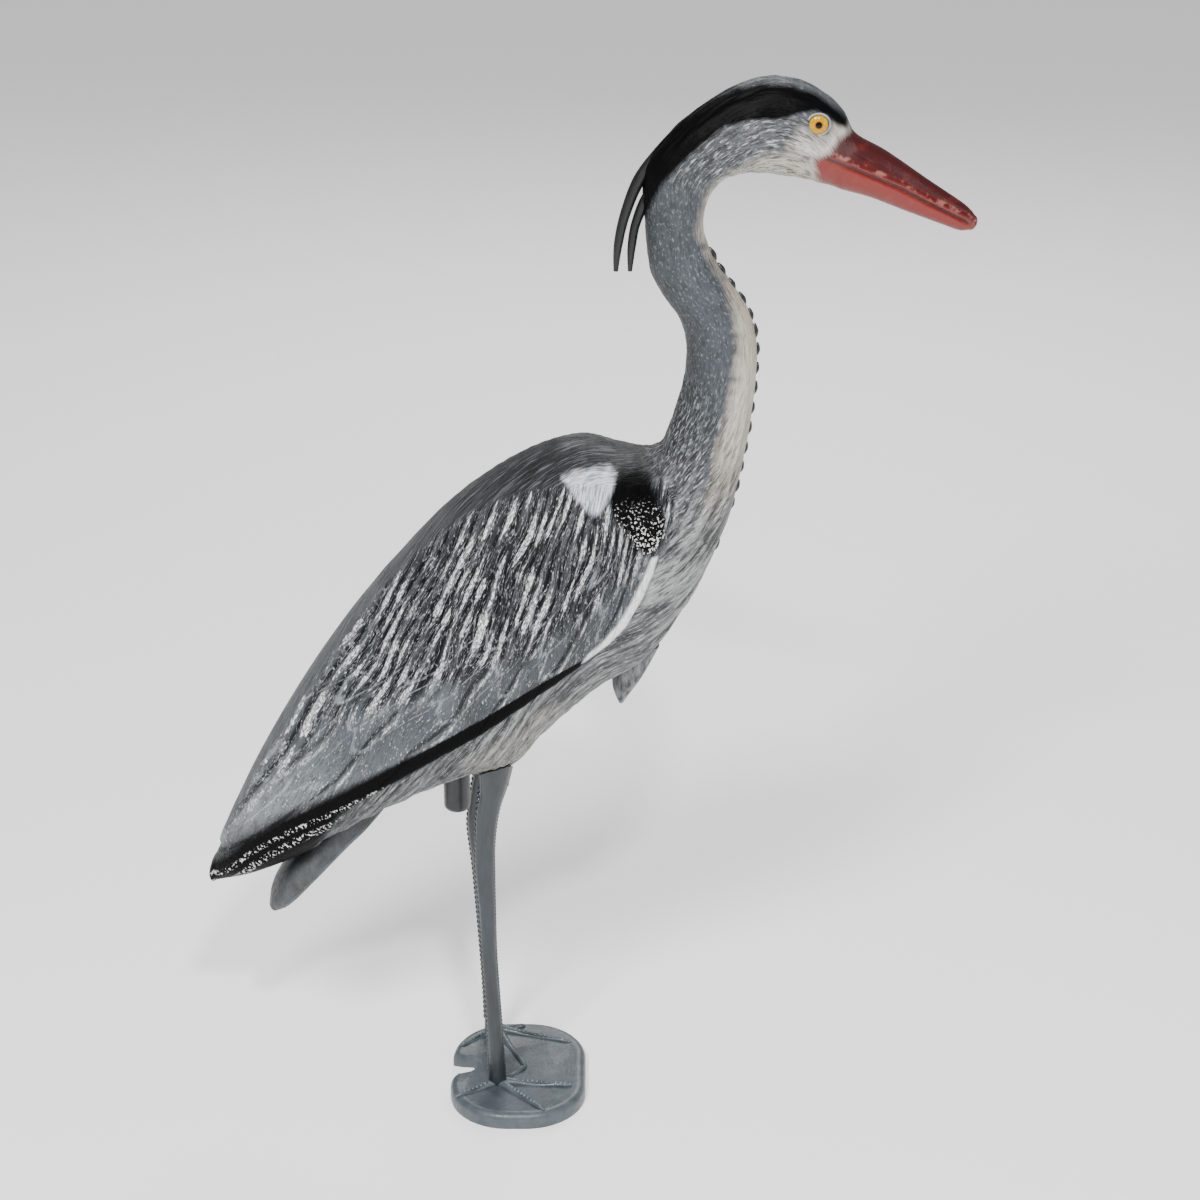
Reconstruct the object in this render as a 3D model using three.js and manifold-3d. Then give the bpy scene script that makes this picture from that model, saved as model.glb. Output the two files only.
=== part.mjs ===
// Standing grey heron decoy: a hollow blow-moulded bird on two plastic legs, which plug into a
// moulded foot plate with a steel ballast slab under it.
// Millimetres. +X is the way the bill points, +Y the bird's left side, +Z up.
// The origin is on the ground, under the middle of the bird's overall box.

import * as THREE from 'three';
import { LoftGeometry } from 'three/addons/geometries/LoftGeometry.js';
import { mergeVertices } from 'three/addons/utils/BufferGeometryUtils.js';
import Module from 'manifold-3d';

const wasm = await Module();
wasm.setup();

// ---- driving dimensions ----

const WALL = 2.6;             // blow-moulded wall of the bird
const GAP = 0.3;              // clearance between neighbouring pieces
const RING = 24;              // points round a section of the bird
const STEPS_PER_RIB = 1.3;    // loft steps for each rib below

const LEG_Y = 36;             // each leg's distance from the mid-plane
const PEG_X = { right: -53, left: -58 };   // axis of the peg that each leg plugs on
const PEG_R = 7.2;
const PEG_BOTTOM = 248;
const PEG_TOP = 300;

const PLUG_X = -84;           // belly plug
const PLUG_R = 9.8;
const PLUG_BOTTOM = 222;
const PLUG_TOP = 272;

const EYE_X = 161;
const EYE_Z = 733;
const EYE_R = 6.4;
const EYE_FACE_Y = 21.2;      // outermost point of the eye

const PLATE_MIN_X = -93;
const PLATE_MAX_X = 9;
const PLATE_MIN_Y = -80;
const PLATE_MAX_Y = 48;
const PLATE_H = 12;
const PLATE_CORNER_R = 44;
const PLATE_WALL = 3;
const PLATE_SKIN = 3.2;       // thickness of the plate's top
const NOTCH_X = -73;          // inner end of the ground-peg notch
const COVER_T = 2.6;
const ROD_R = 2;
const BOSS_R = 4.2;           // screw bosses under the plate
const SCREWS = [[-72, -54], [-14, -54], [-72, 27], [-16, 27]];

// Ribs of the bird from the wing tips, over the shoulders, up the neck and out along the bill:
// back point x and z, front point x and z, half width, and how far down the rib it is widest.
const BIRD_RIBS = [
  [-265, 192, -271, 170, 10, 0.5],
  [-248, 231, -240, 175, 27, 0.72],
  [-223, 282, -205, 190, 43, 0.74],
  [-195, 332, -167, 214, 56, 0.74],
  [-164, 379, -125, 239, 66, 0.72],
  [-128, 424, -80, 258, 74, 0.7],
  [-84, 469, -42, 268, 79, 0.66],
  [-37, 501, -15, 295, 80, 0.62],
  [4, 514, 21, 329, 78, 0.57],
  [31, 507, 54, 352, 71, 0.52],
  [50, 501, 80, 391, 60, 0.48],
  [61, 506, 97, 424, 47, 0.46],
  [67, 518, 108, 452, 38, 0.46],
  [72, 533, 116, 484, 31, 0.48],
  [76, 548, 121, 514, 27, 0.5],
  [78, 563, 125, 546, 24.5, 0.5],
  [78, 581, 126, 576, 23, 0.5],
  [73, 598, 121, 600, 21.5, 0.5],
  [63, 612, 112, 621, 20, 0.5],
  [54, 629, 103, 637, 19, 0.5],
  [51, 647, 94, 652, 18.5, 0.5],
  [49, 666, 90, 666, 18.5, 0.5],
  [46, 688, 92, 679, 19, 0.5],
  [49, 708, 98, 689, 20.5, 0.5],
  [62, 727, 107, 695, 22, 0.5],
  [83, 745, 117, 697, 23, 0.5],
  [107, 757, 129, 697, 23.5, 0.5],
  [130, 761, 142, 695, 23, 0.5],
  [151, 758, 154, 693, 21.5, 0.5],
  [168, 749, 164, 690, 19, 0.5],
  [179, 738, 172, 688, 15.5, 0.5],
  [187, 724, 180, 685, 13, 0.5],
  [207, 710, 198, 679, 11, 0.5],
  [235, 691, 224, 669, 8.5, 0.5],
  [258, 676, 246, 661, 6.5, 0.5],
  [268, 668, 262, 656, 4.8, 0.5],
  [271, 663.5, 269.5, 658, 2.5, 0.5],
];
const FIRST_HOLLOW_RIB = 1.6;
const LAST_HOLLOW_RIB = 30;

// ---- helpers ----

function solid(geometry) {
  const bare = geometry.index ? geometry.toNonIndexed() : geometry.clone();
  bare.deleteAttribute('normal');
  bare.deleteAttribute('uv');
  const merged = mergeVertices(bare, 1e-4);
  const corners = [];
  const index = merged.index.array;
  for (let i = 0; i < index.length; i += 3) {
    const [a, b, c] = [index[i], index[i + 1], index[i + 2]];
    if (a !== b && b !== c && c !== a) corners.push(a, b, c);
  }
  const mesh = new wasm.Mesh({
    numProp: 3,
    vertProperties: Float32Array.from(merged.attributes.position.array),
    triVerts: Uint32Array.from(corners),
  });
  return new wasm.Manifold(mesh);
}

function geometryOf(manifold) {
  const mesh = manifold.getMesh();
  const geometry = new THREE.BufferGeometry();
  const positions = [];
  for (const corner of mesh.triVerts) {
    for (let k = 0; k < 3; k += 1) positions.push(mesh.vertProperties[corner * mesh.numProp + k]);
  }
  geometry.setAttribute('position', new THREE.Float32BufferAttribute(positions, 3));
  geometry.computeVertexNormals();
  return geometry;
}

// A circular tube through points, with a radius at each of them and flat ends.
function tube(points, radii, sides, steps) {
  const path = new THREE.CatmullRomCurve3(points);
  const sizes = new THREE.CatmullRomCurve3(radii.map((r) => new THREE.Vector3(r, 0, 0)));
  const sections = [];
  for (let i = 0; i <= steps; i += 1) {
    const t = i / steps;
    const along = path.getTangent(t);
    const centre = path.getPoint(t);
    const radius = sizes.getPoint(t).x;
    const side = new THREE.Vector3(0, 1, 0).cross(along).normalize();
    const other = along.clone().cross(side);
    const ring = [];
    for (let j = 0; j < sides; j += 1) {
      const a = (j / sides) * Math.PI * 2;
      const out = side.clone().multiplyScalar(Math.cos(a) * radius);
      ring.push(centre.clone().add(out).addScaledVector(other, Math.sin(a) * radius));
    }
    sections.push(ring);
  }
  return new LoftGeometry(sections, { capStart: true, capEnd: true });
}

// An upright round solid: pairs of radius and height from the bottom to the top.
function turned(profile, x, y, sides = 16) {
  const points = profile.map(([r, z]) => new THREE.Vector2(r, z));
  const first = new THREE.Vector2(0, profile[0][1]);
  const last = new THREE.Vector2(0, profile[profile.length - 1][1]);
  const geometry = new THREE.LatheGeometry([first, ...points, last], sides);
  geometry.rotateX(Math.PI / 2);
  geometry.translate(x, y, 0);
  return geometry;
}

function slab(shape, low, high, bevel = 0) {
  const geometry = new THREE.ExtrudeGeometry(shape, {
    depth: high - low - 2 * bevel,
    bevelEnabled: bevel > 0,
    bevelThickness: bevel,
    bevelSize: bevel,
    bevelOffset: -bevel,
    bevelSegments: 2,
    curveSegments: 6,
  });
  geometry.translate(0, 0, low + bevel);
  return geometry;
}

// ---- the bird's shell ----

function ribCurves() {
  const back = BIRD_RIBS.map(([x, z]) => new THREE.Vector3(x, 0, z));
  const front = BIRD_RIBS.map(([, , x, z]) => new THREE.Vector3(x, 0, z));
  const size = BIRD_RIBS.map(([, , , , width, widest]) => new THREE.Vector3(width, widest, 0));
  return [back, front, size].map((list) => new THREE.CatmullRomCurve3(list));
}

const [BACK, FRONT, SIZE] = ribCurves();

// One section: two quarter ellipses on each side, meeting where the rib is widest.
// Inset moves the whole section inwards, or outwards if it is negative.
function birdSection(rib, inset, count) {
  const t = rib / (BIRD_RIBS.length - 1);
  const back = BACK.getPoint(t);
  const front = FRONT.getPoint(t);
  const size = SIZE.getPoint(t);
  const down = front.clone().sub(back).normalize();
  back.addScaledVector(down, inset);
  front.addScaledVector(down, -inset);
  const width = Math.max(size.x - inset, 0.5);
  const points = [];
  for (let j = 0; j < count; j += 1) {
    const a = (j / count) * Math.PI * 2;
    const half = Math.cos(a) > 0 ? size.y : 1 - size.y;
    const share = size.y - half * Math.cos(a);
    const point = back.clone().lerp(front, share);
    point.y = -width * Math.sin(a);
    points.push(point);
  }
  return points;
}

function birdLoft(first, last, inset, count, density) {
  const steps = Math.round((last - first) * density);
  const sections = [];
  for (let i = 0; i <= steps; i += 1) {
    sections.push(birdSection(first + ((last - first) * i) / steps, inset, count));
  }
  return new LoftGeometry(sections, { capStart: true, capEnd: true });
}

// The short fan of tail feathers, which shows below the folded wing tips.
function tailFan() {
  const stations = [
    [-150, 234, 20, 15],
    [-173, 206, 26, 12],
    [-197, 177, 27, 10],
    [-214, 156, 24, 8],
    [-223, 145, 15, 4],
  ];
  const down = new THREE.Vector3(-0.64, 0, -0.77);
  const normal = new THREE.Vector3(-0.77, 0, 0.64);
  const sections = stations.map(([x, z, width, thick]) => {
    const ring = [];
    for (let j = 0; j < 16; j += 1) {
      const a = (j / 16) * Math.PI * 2;
      const point = new THREE.Vector3(x, -width * Math.cos(a), z);
      point.addScaledVector(normal, thick * Math.sin(a));
      ring.push(point);
    }
    return ring;
  });
  sections[sections.length - 1].forEach((point) => point.addScaledVector(down, 1));
  return new LoftGeometry(sections, { capStart: true, capEnd: true });
}

// The pointed tuft of breast feathers, which hangs in front of the belly.
function breastTuft() {
  const points = [[46, 352], [40, 330], [36, 313]].map(([x, z]) => new THREE.Vector3(x, 0, z));
  return tube(points, [11, 8, 1.5], 10, 4);
}

const PLUMES = {
  outer: { line: [[58, 708], [46, 691], [37, 668], [32.5, 647], [30.5, 630]], radii: [4, 3.3, 2.7, 2.6, 2.5] },
  inner: { line: [[64, 694], [52, 681], [44.5, 663], [42, 646], [41, 630]], radii: [3.6, 3, 2.6, 2.5, 2.5] },
};

function plume({ line, radii }, extra) {
  const points = line.map(([x, z]) => new THREE.Vector3(x, 0, z));
  return tube(points, radii.map((r) => r + extra), 8, 8);
}

function eyeSolid(side, extra) {
  const depth = 6;
  const profile = [];
  profile.push([EYE_R + extra, -depth - extra]);
  for (let i = 0; i <= 3; i += 1) {
    const a = (i / 3) * Math.PI * 0.45;
    profile.push([(EYE_R + extra) * Math.cos(a), 3 * Math.sin(a) + extra]);
  }
  const geometry = turned(profile, 0, 0, 16);
  geometry.rotateX((-side * Math.PI) / 2);
  geometry.translate(EYE_X, side * (EYE_FACE_Y - 3), EYE_Z);
  return geometry;
}

function bodyShell() {
  const last = BIRD_RIBS.length - 1;
  let shell = solid(birdLoft(0, last, 0, RING, STEPS_PER_RIB));
  shell = shell.add(solid(tailFan())).add(solid(breastTuft()));
  shell = shell.subtract(solid(birdLoft(FIRST_HOLLOW_RIB, LAST_HOLLOW_RIB, WALL, 16, 1)));
  for (const [name, side] of Object.entries(SIDES)) {
    const hole = turned([[PEG_R + GAP, 200], [PEG_R + GAP, PEG_TOP + 20]], PEG_X[name], side * LEG_Y);
    shell = shell.subtract(solid(hole)).subtract(solid(eyeSolid(side, GAP)));
  }
  shell = shell.subtract(solid(turned([[PLUG_R + GAP, 200], [PLUG_R + GAP, 300]], PLUG_X, 0)));
  for (const one of Object.values(PLUMES)) shell = shell.subtract(solid(plume(one, GAP)));
  return geometryOf(shell);
}

// ---- legs, pegs and plug ----

// Each leg's centre line and radius, from the foot up to the collar: x, z and radius. The left
// leg leans back a little more than the right one.
const LEG_LINES = {
  right: [
    [-56, PLATE_H + 2 * GAP, 7.5], [-56.5, 27, 6.5], [-58, 66, 6.3], [-61, 120, 6], [-62, 160, 6.5],
    [-64, 192, 8], [-63, 215, 8], [-60.5, 238, 9], [-55, 264, 11.4], [-53, 290, 13],
  ],
  left: [
    [-54, PLATE_H + 2 * GAP, 7.5], [-54.5, 27, 6.5], [-57, 66, 6.3], [-62.5, 120, 6], [-66, 160, 6.5],
    [-69, 192, 8], [-68, 215, 8], [-65, 238, 9], [-60, 264, 11.4], [-58, 290, 13],
  ],
};
const ROD_LINES = {
  right: [[-56, COVER_T + 2 * GAP], [-63, 188]],
  left: [[-53, COVER_T + 2 * GAP], [-68, 188]],
};
const SIDES = { right: -1, left: 1 };

function alongLine(line, name) {
  return line.map(([x, z]) => new THREE.Vector3(x, SIDES[name] * LEG_Y, z));
}

function rod(name, extra) {
  return tube(alongLine(ROD_LINES[name], name), [ROD_R + extra, ROD_R + extra], 12, 1);
}

function legSolid(name, bodyClear) {
  const socketProfile = [[PEG_R + 1, PEG_BOTTOM - GAP], [PEG_R + 1, 320]];
  const socket = turned(socketProfile, PEG_X[name], SIDES[name] * LEG_Y);
  const radii = LEG_LINES[name].map(([, , r]) => r);
  let leg = solid(tube(alongLine(LEG_LINES[name], name), radii, 14, 18));
  leg = leg.subtract(solid(socket)).subtract(solid(rod(name, GAP))).subtract(bodyClear);
  return geometryOf(leg);
}

function plugSolid() {
  const profile = [];
  for (let i = 0; i <= 5; i += 1) {
    const a = (i / 5) * Math.PI * 0.5;
    profile.push([PLUG_R * Math.sin(a), PLUG_BOTTOM + PLUG_R * (1 - Math.cos(a))]);
  }
  profile.shift();
  profile.push([PLUG_R, PLUG_TOP]);
  return turned([[0.8, PLUG_BOTTOM], ...profile], PLUG_X, 0);
}

// ---- foot ----

function roundedPlate(inset) {
  const r = PLATE_CORNER_R - inset;
  const [x0, x1] = [PLATE_MIN_X + inset, PLATE_MAX_X - inset];
  const [y0, y1] = [PLATE_MIN_Y + inset, PLATE_MAX_Y - inset];
  const shape = new THREE.Shape();
  shape.moveTo(x0 + r, y0);
  shape.absarc(x1 - r, y0 + r, r, -Math.PI / 2, 0);
  shape.absarc(x1 - r, y1 - r, r, 0, Math.PI / 2);
  shape.absarc(x0 + r, y1 - r, r, Math.PI / 2, Math.PI);
  shape.absarc(x0 + r, y0 + r, r, Math.PI, Math.PI * 1.5);
  return shape;
}

// The notch for a ground peg opens to the rear, with its right wall flared.
function notch(grow) {
  const shape = new THREE.Shape();
  shape.moveTo(PLATE_MIN_X - 20, 1 + grow);
  shape.lineTo(PLATE_MIN_X - 20, -46 - grow);
  shape.lineTo(PLATE_MIN_X, -34 - grow);
  shape.lineTo(NOTCH_X - 4, -22 - grow);
  shape.lineTo(NOTCH_X + grow, -17);
  shape.lineTo(NOTCH_X + grow, -6);
  shape.lineTo(NOTCH_X - 4, -2 + grow);
  shape.lineTo(PLATE_MIN_X, 1 + grow);
  return shape;
}

// Each toe runs from an ankle to its tip: x and y of both. The two inner toes meet.
const TOES = [
  [-56, -36, -21, -73], [-56, -36, -3, -42], [-56, -36, -84, -58], [-56, -36, -36, -16],
  [-54, 36, -6, 20], [-54, 36, -86, 11], [-54, 36, -38, 42], [-54, 36, -36, -16],
];

function toe([x0, y0, x1, y1]) {
  const z = PLATE_H - 0.5;
  const points = [[0, 1], [0.5, 0], [1, -1]].map(([t, rise]) => (
    new THREE.Vector3(x0 + (x1 - x0) * t, y0 + (y1 - y0) * t, z + rise)));
  return tube(points, [5, 4, 2.2], 8, 3);
}

function under(shape, low, high) {
  return solid(slab(shape, low, high));
}

function footPlate() {
  let plate = solid(slab(roundedPlate(0), 0, PLATE_H, 2.5));
  for (const one of TOES) plate = plate.add(solid(toe(one)));
  plate = plate.subtract(under(notch(0), -1, PLATE_H + 8));
  let hollow = under(roundedPlate(PLATE_WALL), -1, PLATE_H - PLATE_SKIN);
  hollow = hollow.subtract(under(notch(PLATE_WALL), -2, PLATE_H));
  for (const [x, y] of SCREWS) {
    hollow = hollow.subtract(solid(turned([[BOSS_R, COVER_T + GAP], [BOSS_R, PLATE_H]], x, y, 16)));
  }
  plate = plate.subtract(hollow);
  for (const [x, y] of SCREWS) {
    plate = plate.subtract(solid(turned([[1.7, 0], [1.7, 8.6]], x, y, 12)));
  }
  for (const [name, side] of Object.entries(SIDES)) {
    const [[ankleX, , ankleR]] = LEG_LINES[name];
    const ankle = turned([[ankleR + GAP, PLATE_H], [ankleR + GAP, 30]], ankleX, side * LEG_Y);
    plate = plate.subtract(solid(rod(name, GAP))).subtract(solid(ankle));
  }
  return geometryOf(plate);
}

function ballastSlab() {
  const top = PLATE_H - PLATE_SKIN - GAP;
  let block = under(roundedPlate(PLATE_WALL + 1), COVER_T + GAP, top);
  block = block.subtract(under(notch(PLATE_WALL + 1), 0, PLATE_H));
  for (const [x, y] of SCREWS) {
    block = block.subtract(solid(turned([[BOSS_R + 0.6, 0], [BOSS_R + 0.6, PLATE_H]], x, y, 16)));
  }
  for (const name of Object.keys(SIDES)) block = block.subtract(solid(rod(name, GAP)));
  return geometryOf(block);
}

function footCover() {
  let cover = under(roundedPlate(PLATE_WALL + GAP), 0, COVER_T);
  cover = cover.subtract(under(notch(PLATE_WALL + GAP), -1, PLATE_H));
  for (const [x, y] of SCREWS) {
    cover = cover.subtract(solid(turned([[3.4, -1], [3.4, 1.7], [1.8, 1.7], [1.8, 4]], x, y, 12)));
  }
  return geometryOf(cover);
}

function screw([x, y]) {
  return turned([[3, 0.3], [3, 1.4], [1.4, 1.4], [1.4, 8]], x, y, 12);
}

// ---- assembly ----

const group = new THREE.Group();

function place(name, geometry, color, roughness, metalness = 0) {
  const material = new THREE.MeshStandardMaterial({ color, roughness, metalness });
  const mesh = new THREE.Mesh(geometry, material);
  mesh.name = name;
  group.add(mesh);
}

const bird = new THREE.Color(0x4a4f56);
const black = new THREE.Color(0x101214);
const slate = new THREE.Color(0x5b656b);
const steel = new THREE.Color(0x9a9c9e);
const amber = new THREE.Color(0xe0a51c);
const bodyClear = solid(birdLoft(5, 9, -1.2, RING, 2));

place('body_shell', bodyShell(), bird, 0.45);
for (const [name, one] of Object.entries(PLUMES)) {
  place(`crest_plume_${name}`, plume(one, 0), black, 0.3);
}
for (const [name, side] of Object.entries(SIDES)) {
  const pegProfile = [[PEG_R - 1, PEG_BOTTOM], [PEG_R, PEG_BOTTOM + 2], [PEG_R, PEG_TOP]];
  place(`eye_${name}`, eyeSolid(side, 0), amber, 0.15);
  place(`leg_peg_${name}`, turned(pegProfile, PEG_X[name], side * LEG_Y), slate, 0.5);
  place(`leg_${name}`, legSolid(name, bodyClear), slate, 0.4);
  place(`leg_rod_${name}`, rod(name, 0), steel, 0.3, 1);
}
place('belly_plug', plugSolid(), slate, 0.5);
place('foot_plate', footPlate(), slate, 0.4);
place('ballast_slab', ballastSlab(), steel, 0.5, 1);
place('foot_cover', footCover(), slate, 0.5);
SCREWS.forEach((spot, i) => place(`cover_screw_${i + 1}`, screw(spot), steel, 0.3, 1));

export default group;
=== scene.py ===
# %% [markdown]
# # A standing heron decoy
# The real object is a hollow plastic bird, blow-moulded in one piece and sprayed by hand. It stands
# on two separate legs in a moulded foot plate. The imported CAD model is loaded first: it fixes every
# size and every moving body, and each visible piece below is fitted to it.

# %% Load the frame
import bpy
import bmesh
import math
import numpy as np
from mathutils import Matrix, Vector
from mathutils.bvhtree import BVHTree


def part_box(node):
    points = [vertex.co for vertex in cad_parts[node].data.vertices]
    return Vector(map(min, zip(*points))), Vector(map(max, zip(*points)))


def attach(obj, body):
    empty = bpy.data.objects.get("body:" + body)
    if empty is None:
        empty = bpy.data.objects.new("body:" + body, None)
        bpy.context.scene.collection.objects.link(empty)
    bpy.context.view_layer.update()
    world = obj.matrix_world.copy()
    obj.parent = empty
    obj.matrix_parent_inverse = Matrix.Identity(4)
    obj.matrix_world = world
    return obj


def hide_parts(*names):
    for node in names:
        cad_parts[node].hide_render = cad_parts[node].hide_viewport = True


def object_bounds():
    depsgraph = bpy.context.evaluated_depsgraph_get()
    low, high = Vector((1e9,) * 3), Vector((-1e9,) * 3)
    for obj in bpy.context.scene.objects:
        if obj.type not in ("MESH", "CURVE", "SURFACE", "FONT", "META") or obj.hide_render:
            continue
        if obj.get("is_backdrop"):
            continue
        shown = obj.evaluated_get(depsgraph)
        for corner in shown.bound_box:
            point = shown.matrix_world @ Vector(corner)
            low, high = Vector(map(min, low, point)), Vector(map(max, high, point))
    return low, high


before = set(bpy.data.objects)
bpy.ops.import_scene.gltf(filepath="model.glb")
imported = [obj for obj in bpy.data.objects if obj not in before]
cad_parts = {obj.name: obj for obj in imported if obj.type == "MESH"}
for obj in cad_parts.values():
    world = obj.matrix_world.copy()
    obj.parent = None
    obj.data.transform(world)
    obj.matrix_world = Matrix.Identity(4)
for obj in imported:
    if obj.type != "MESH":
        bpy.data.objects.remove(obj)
CAD_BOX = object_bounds()
MM = 0.001


# %% [markdown]
# ## Colours
# Paint colours are written as sRGB hex values, as on a colour card. Blender calculates in linear
# light, so one function turns a hex value into linear numbers.

# %% Hex to linear
def linear(code):
    channels = [int(code[i:i + 2], 16) / 255 for i in (1, 3, 5)]
    return tuple(c / 12.92 if c <= 0.04045 else ((c + 0.055) / 1.055) ** 2.4 for c in channels)


print("mid grey in linear light:", round(linear("#808080")[0], 3))


# %% [markdown]
# ## Camera and light
# The bird is looked down on a little from its right side, at a distance of under two metres, so
# the foot plate is seen more from above than the head is. The light is a plain soft studio:
# a broad key above the camera, a second one for the small sharp glints on the lacquer, a weak fill
# and a pale floor.

# %% Camera
CAMERA_AT = Vector((0.020, -1.68, 1.12))
CAMERA_TO = Vector((0.020, 0.0, 0.39))
camera_data = bpy.data.cameras.new("camera")
camera_data.lens = 78
camera_data.sensor_width = 36
camera = bpy.data.objects.new("camera", camera_data)
camera.location = CAMERA_AT
camera.rotation_euler = (CAMERA_TO - CAMERA_AT).to_track_quat("-Z", "Y").to_euler()
bpy.context.scene.collection.objects.link(camera)
bpy.context.scene.camera = camera
print("camera", round((CAMERA_TO - CAMERA_AT).length, 3), "m from its target")


# %% Lights, sky and floor
def area_light(name, place, target, size, watts):
    data = bpy.data.lights.new(name, "AREA")
    data.shape = "DISK"
    data.size = size
    data.energy = watts
    lamp = bpy.data.objects.new(name, data)
    lamp.location = place
    lamp.rotation_euler = (Vector(target) - Vector(place)).to_track_quat("-Z", "Y").to_euler()
    bpy.context.scene.collection.objects.link(lamp)


area_light("key", (-0.8, -1.9, 2.4), (0, 0, 0.4), 0.7, 92)
area_light("glint", (0.25, -1.8, 2.2), (0, 0, 0.45), 0.20, 46)
area_light("fill", (2.2, -1.2, 1.0), (0, 0, 0.4), 1.8, 14)
area_light("back", (0.2, 2.0, 1.9), (0, 0, 0.4), 1.5, 34)

world = bpy.data.worlds.new("studio")
world.use_nodes = True
world.node_tree.nodes["Background"].inputs["Color"].default_value = (1, 1, 1, 1)
world.node_tree.nodes["Background"].inputs["Strength"].default_value = 0.30
bpy.context.scene.world = world

floor_material = bpy.data.materials.new("studio_floor")
floor_material.use_nodes = True
floor_shader = floor_material.node_tree.nodes["Principled BSDF"]
floor_shader.inputs["Base Color"].default_value = (0.92, 0.92, 0.92, 1)
floor_shader.inputs["Roughness"].default_value = 0.9
floor_shader.inputs["Emission Color"].default_value = (1, 1, 1, 1)
floor_shader.inputs["Emission Strength"].default_value = 0.38
bpy.ops.mesh.primitive_plane_add(size=12, location=(0, 0, 0))
floor = bpy.context.object
floor.name = "floor"
floor.data.materials.append(floor_material)
floor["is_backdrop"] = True
print("lights and floor placed")


# %% [markdown]
# ## The bird's form
# A blow-moulded bird has no corners, so it is built as a sculptor draws it: ribs run from the back
# line to the front line, from the wing tips over the shoulders, up the neck and along the bill.
# A primitive with modifiers can't follow this form, so the skin is a grid of points worked out
# from the ribs: a smooth curve passes through them, and each section is four quarter ellipses.

# %% Ribs of the bird
# Back point x and z, front point x and z, half width, and how far down the rib it is widest, in mm.
RIBS = np.array([
    [-260, 187, -263.5, 168, 8.5, 0.5],
    [-243, 226, -240, 176.5, 24, 0.72],
    [-217.5, 277, -205, 193, 40, 0.74],
    [-189, 327, -167, 216, 53, 0.74],
    [-158, 374, -124, 241, 63, 0.72],
    [-122, 419, -80, 261, 71, 0.7],
    [-80.5, 463, -42, 270, 74.5, 0.66],
    [-35, 495, -17, 297, 75.5, 0.62],
    [4, 508.5, 19, 331, 74, 0.57],
    [31, 503, 53, 353, 69, 0.52],
    [50, 499, 80, 391, 59, 0.48],
    [61.5, 505, 97, 424, 47, 0.46],
    [67, 518, 108, 452, 38, 0.46],
    [72, 533, 116, 484, 31, 0.48],
    [76, 548, 121, 514, 27, 0.5],
    [78, 563, 125, 546, 24.5, 0.5],
    [78, 581, 126, 576, 23, 0.5],
    [73, 598, 121, 600, 21.5, 0.5],
    [63, 612, 109, 620, 20, 0.5],
    [54, 629, 98.5, 635, 19, 0.5],
    [51, 647, 91, 650, 18.5, 0.5],
    [49.5, 666, 88.5, 665, 18.5, 0.5],
    [48, 687, 91.5, 679, 19, 0.5],
    [52, 706, 98, 689, 20.5, 0.5],
    [66, 723.5, 107, 695, 22, 0.5],
    [86, 741, 117, 697, 23, 0.5],
    [108.5, 754, 129, 697, 23.5, 0.5],
    [130, 760, 142, 695, 23, 0.5],
    [151, 757, 154, 693, 21.5, 0.5],
    [168, 748, 164, 690, 19, 0.5],
    [179, 737, 172, 688, 15.5, 0.5],
    [187, 723, 180, 685, 13, 0.5],
    [208, 711, 198, 680, 11, 0.5],
    [236, 692, 224, 670, 8.5, 0.5],
    [258, 677.5, 247, 661.5, 7.0, 0.5],
    [265.3, 671.5, 258, 657.6, 6.2, 0.5],
    [268.0, 668, 264.2, 657.8, 4.8, 0.5],
], float)
TORSO_ENDS = 12          # the rib at the foot of the neck, where the grid gets coarser
TORSO_COLUMNS = 272
NECK_COLUMNS = TORSO_COLUMNS // 2
TORSO_STEP = 2.0         # distance between rows of points, in mm
NECK_STEP = 2.1


def curve(rows, t):
    """Values on a smooth Catmull-Rom curve through rows, at fractional row numbers t."""
    last = len(rows) - 1
    t = np.clip(t, 0, last - 1e-4)
    i = np.floor(t).astype(int)
    f = (t - i)[:, None]
    a, b = rows[np.maximum(i - 1, 0)], rows[i]
    c, d = rows[np.minimum(i + 1, last)], rows[np.minimum(i + 2, last)]
    return 0.5 * (2 * b + (c - a) * f + (2 * a - 5 * b + 4 * c - d) * f ** 2
                  + (3 * b - a - 3 * c + d) * f ** 3)


def smooth_ribs(t):
    return curve(RIBS, t)


def even_steps(first, last, step):
    """Rib numbers from first to last, spaced evenly along the middle of the form."""
    t = np.linspace(first, last, 4000)
    ribs = smooth_ribs(t)
    travel = [np.hypot(np.diff(ribs[:, k]), np.diff(ribs[:, k + 1])) for k in (0, 2)]
    length = np.concatenate([[0], np.cumsum(np.maximum(*travel) * 0.5 + np.minimum(*travel) * 0.5)])
    count = int(round(length[-1] / step))
    return np.interp(np.linspace(0, length[-1], count + 1), length, t)


TORSO_ROWS = even_steps(0, TORSO_ENDS, TORSO_STEP)
NECK_ROWS = even_steps(TORSO_ENDS, len(RIBS) - 1, NECK_STEP)
print("torso rows", len(TORSO_ROWS), "neck rows", len(NECK_ROWS))


# %% [markdown]
# ## Noise with a grain
# Feathers, hair strands and brush marks are all noise that is long one way and short the other.
# This small lattice noise is repeatable, which a random number isn't.

# %% Lattice noise
def lattice(ix, iy, seed):
    n = (ix * 374761393 + iy * 668265263 + seed * 974711) & 0xFFFFFFFF
    n = ((n ^ (n >> 13)) * 1274126177) & 0xFFFFFFFF
    return ((n ^ (n >> 16)) & 0xFFFF) / 32767.5 - 1


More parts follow.
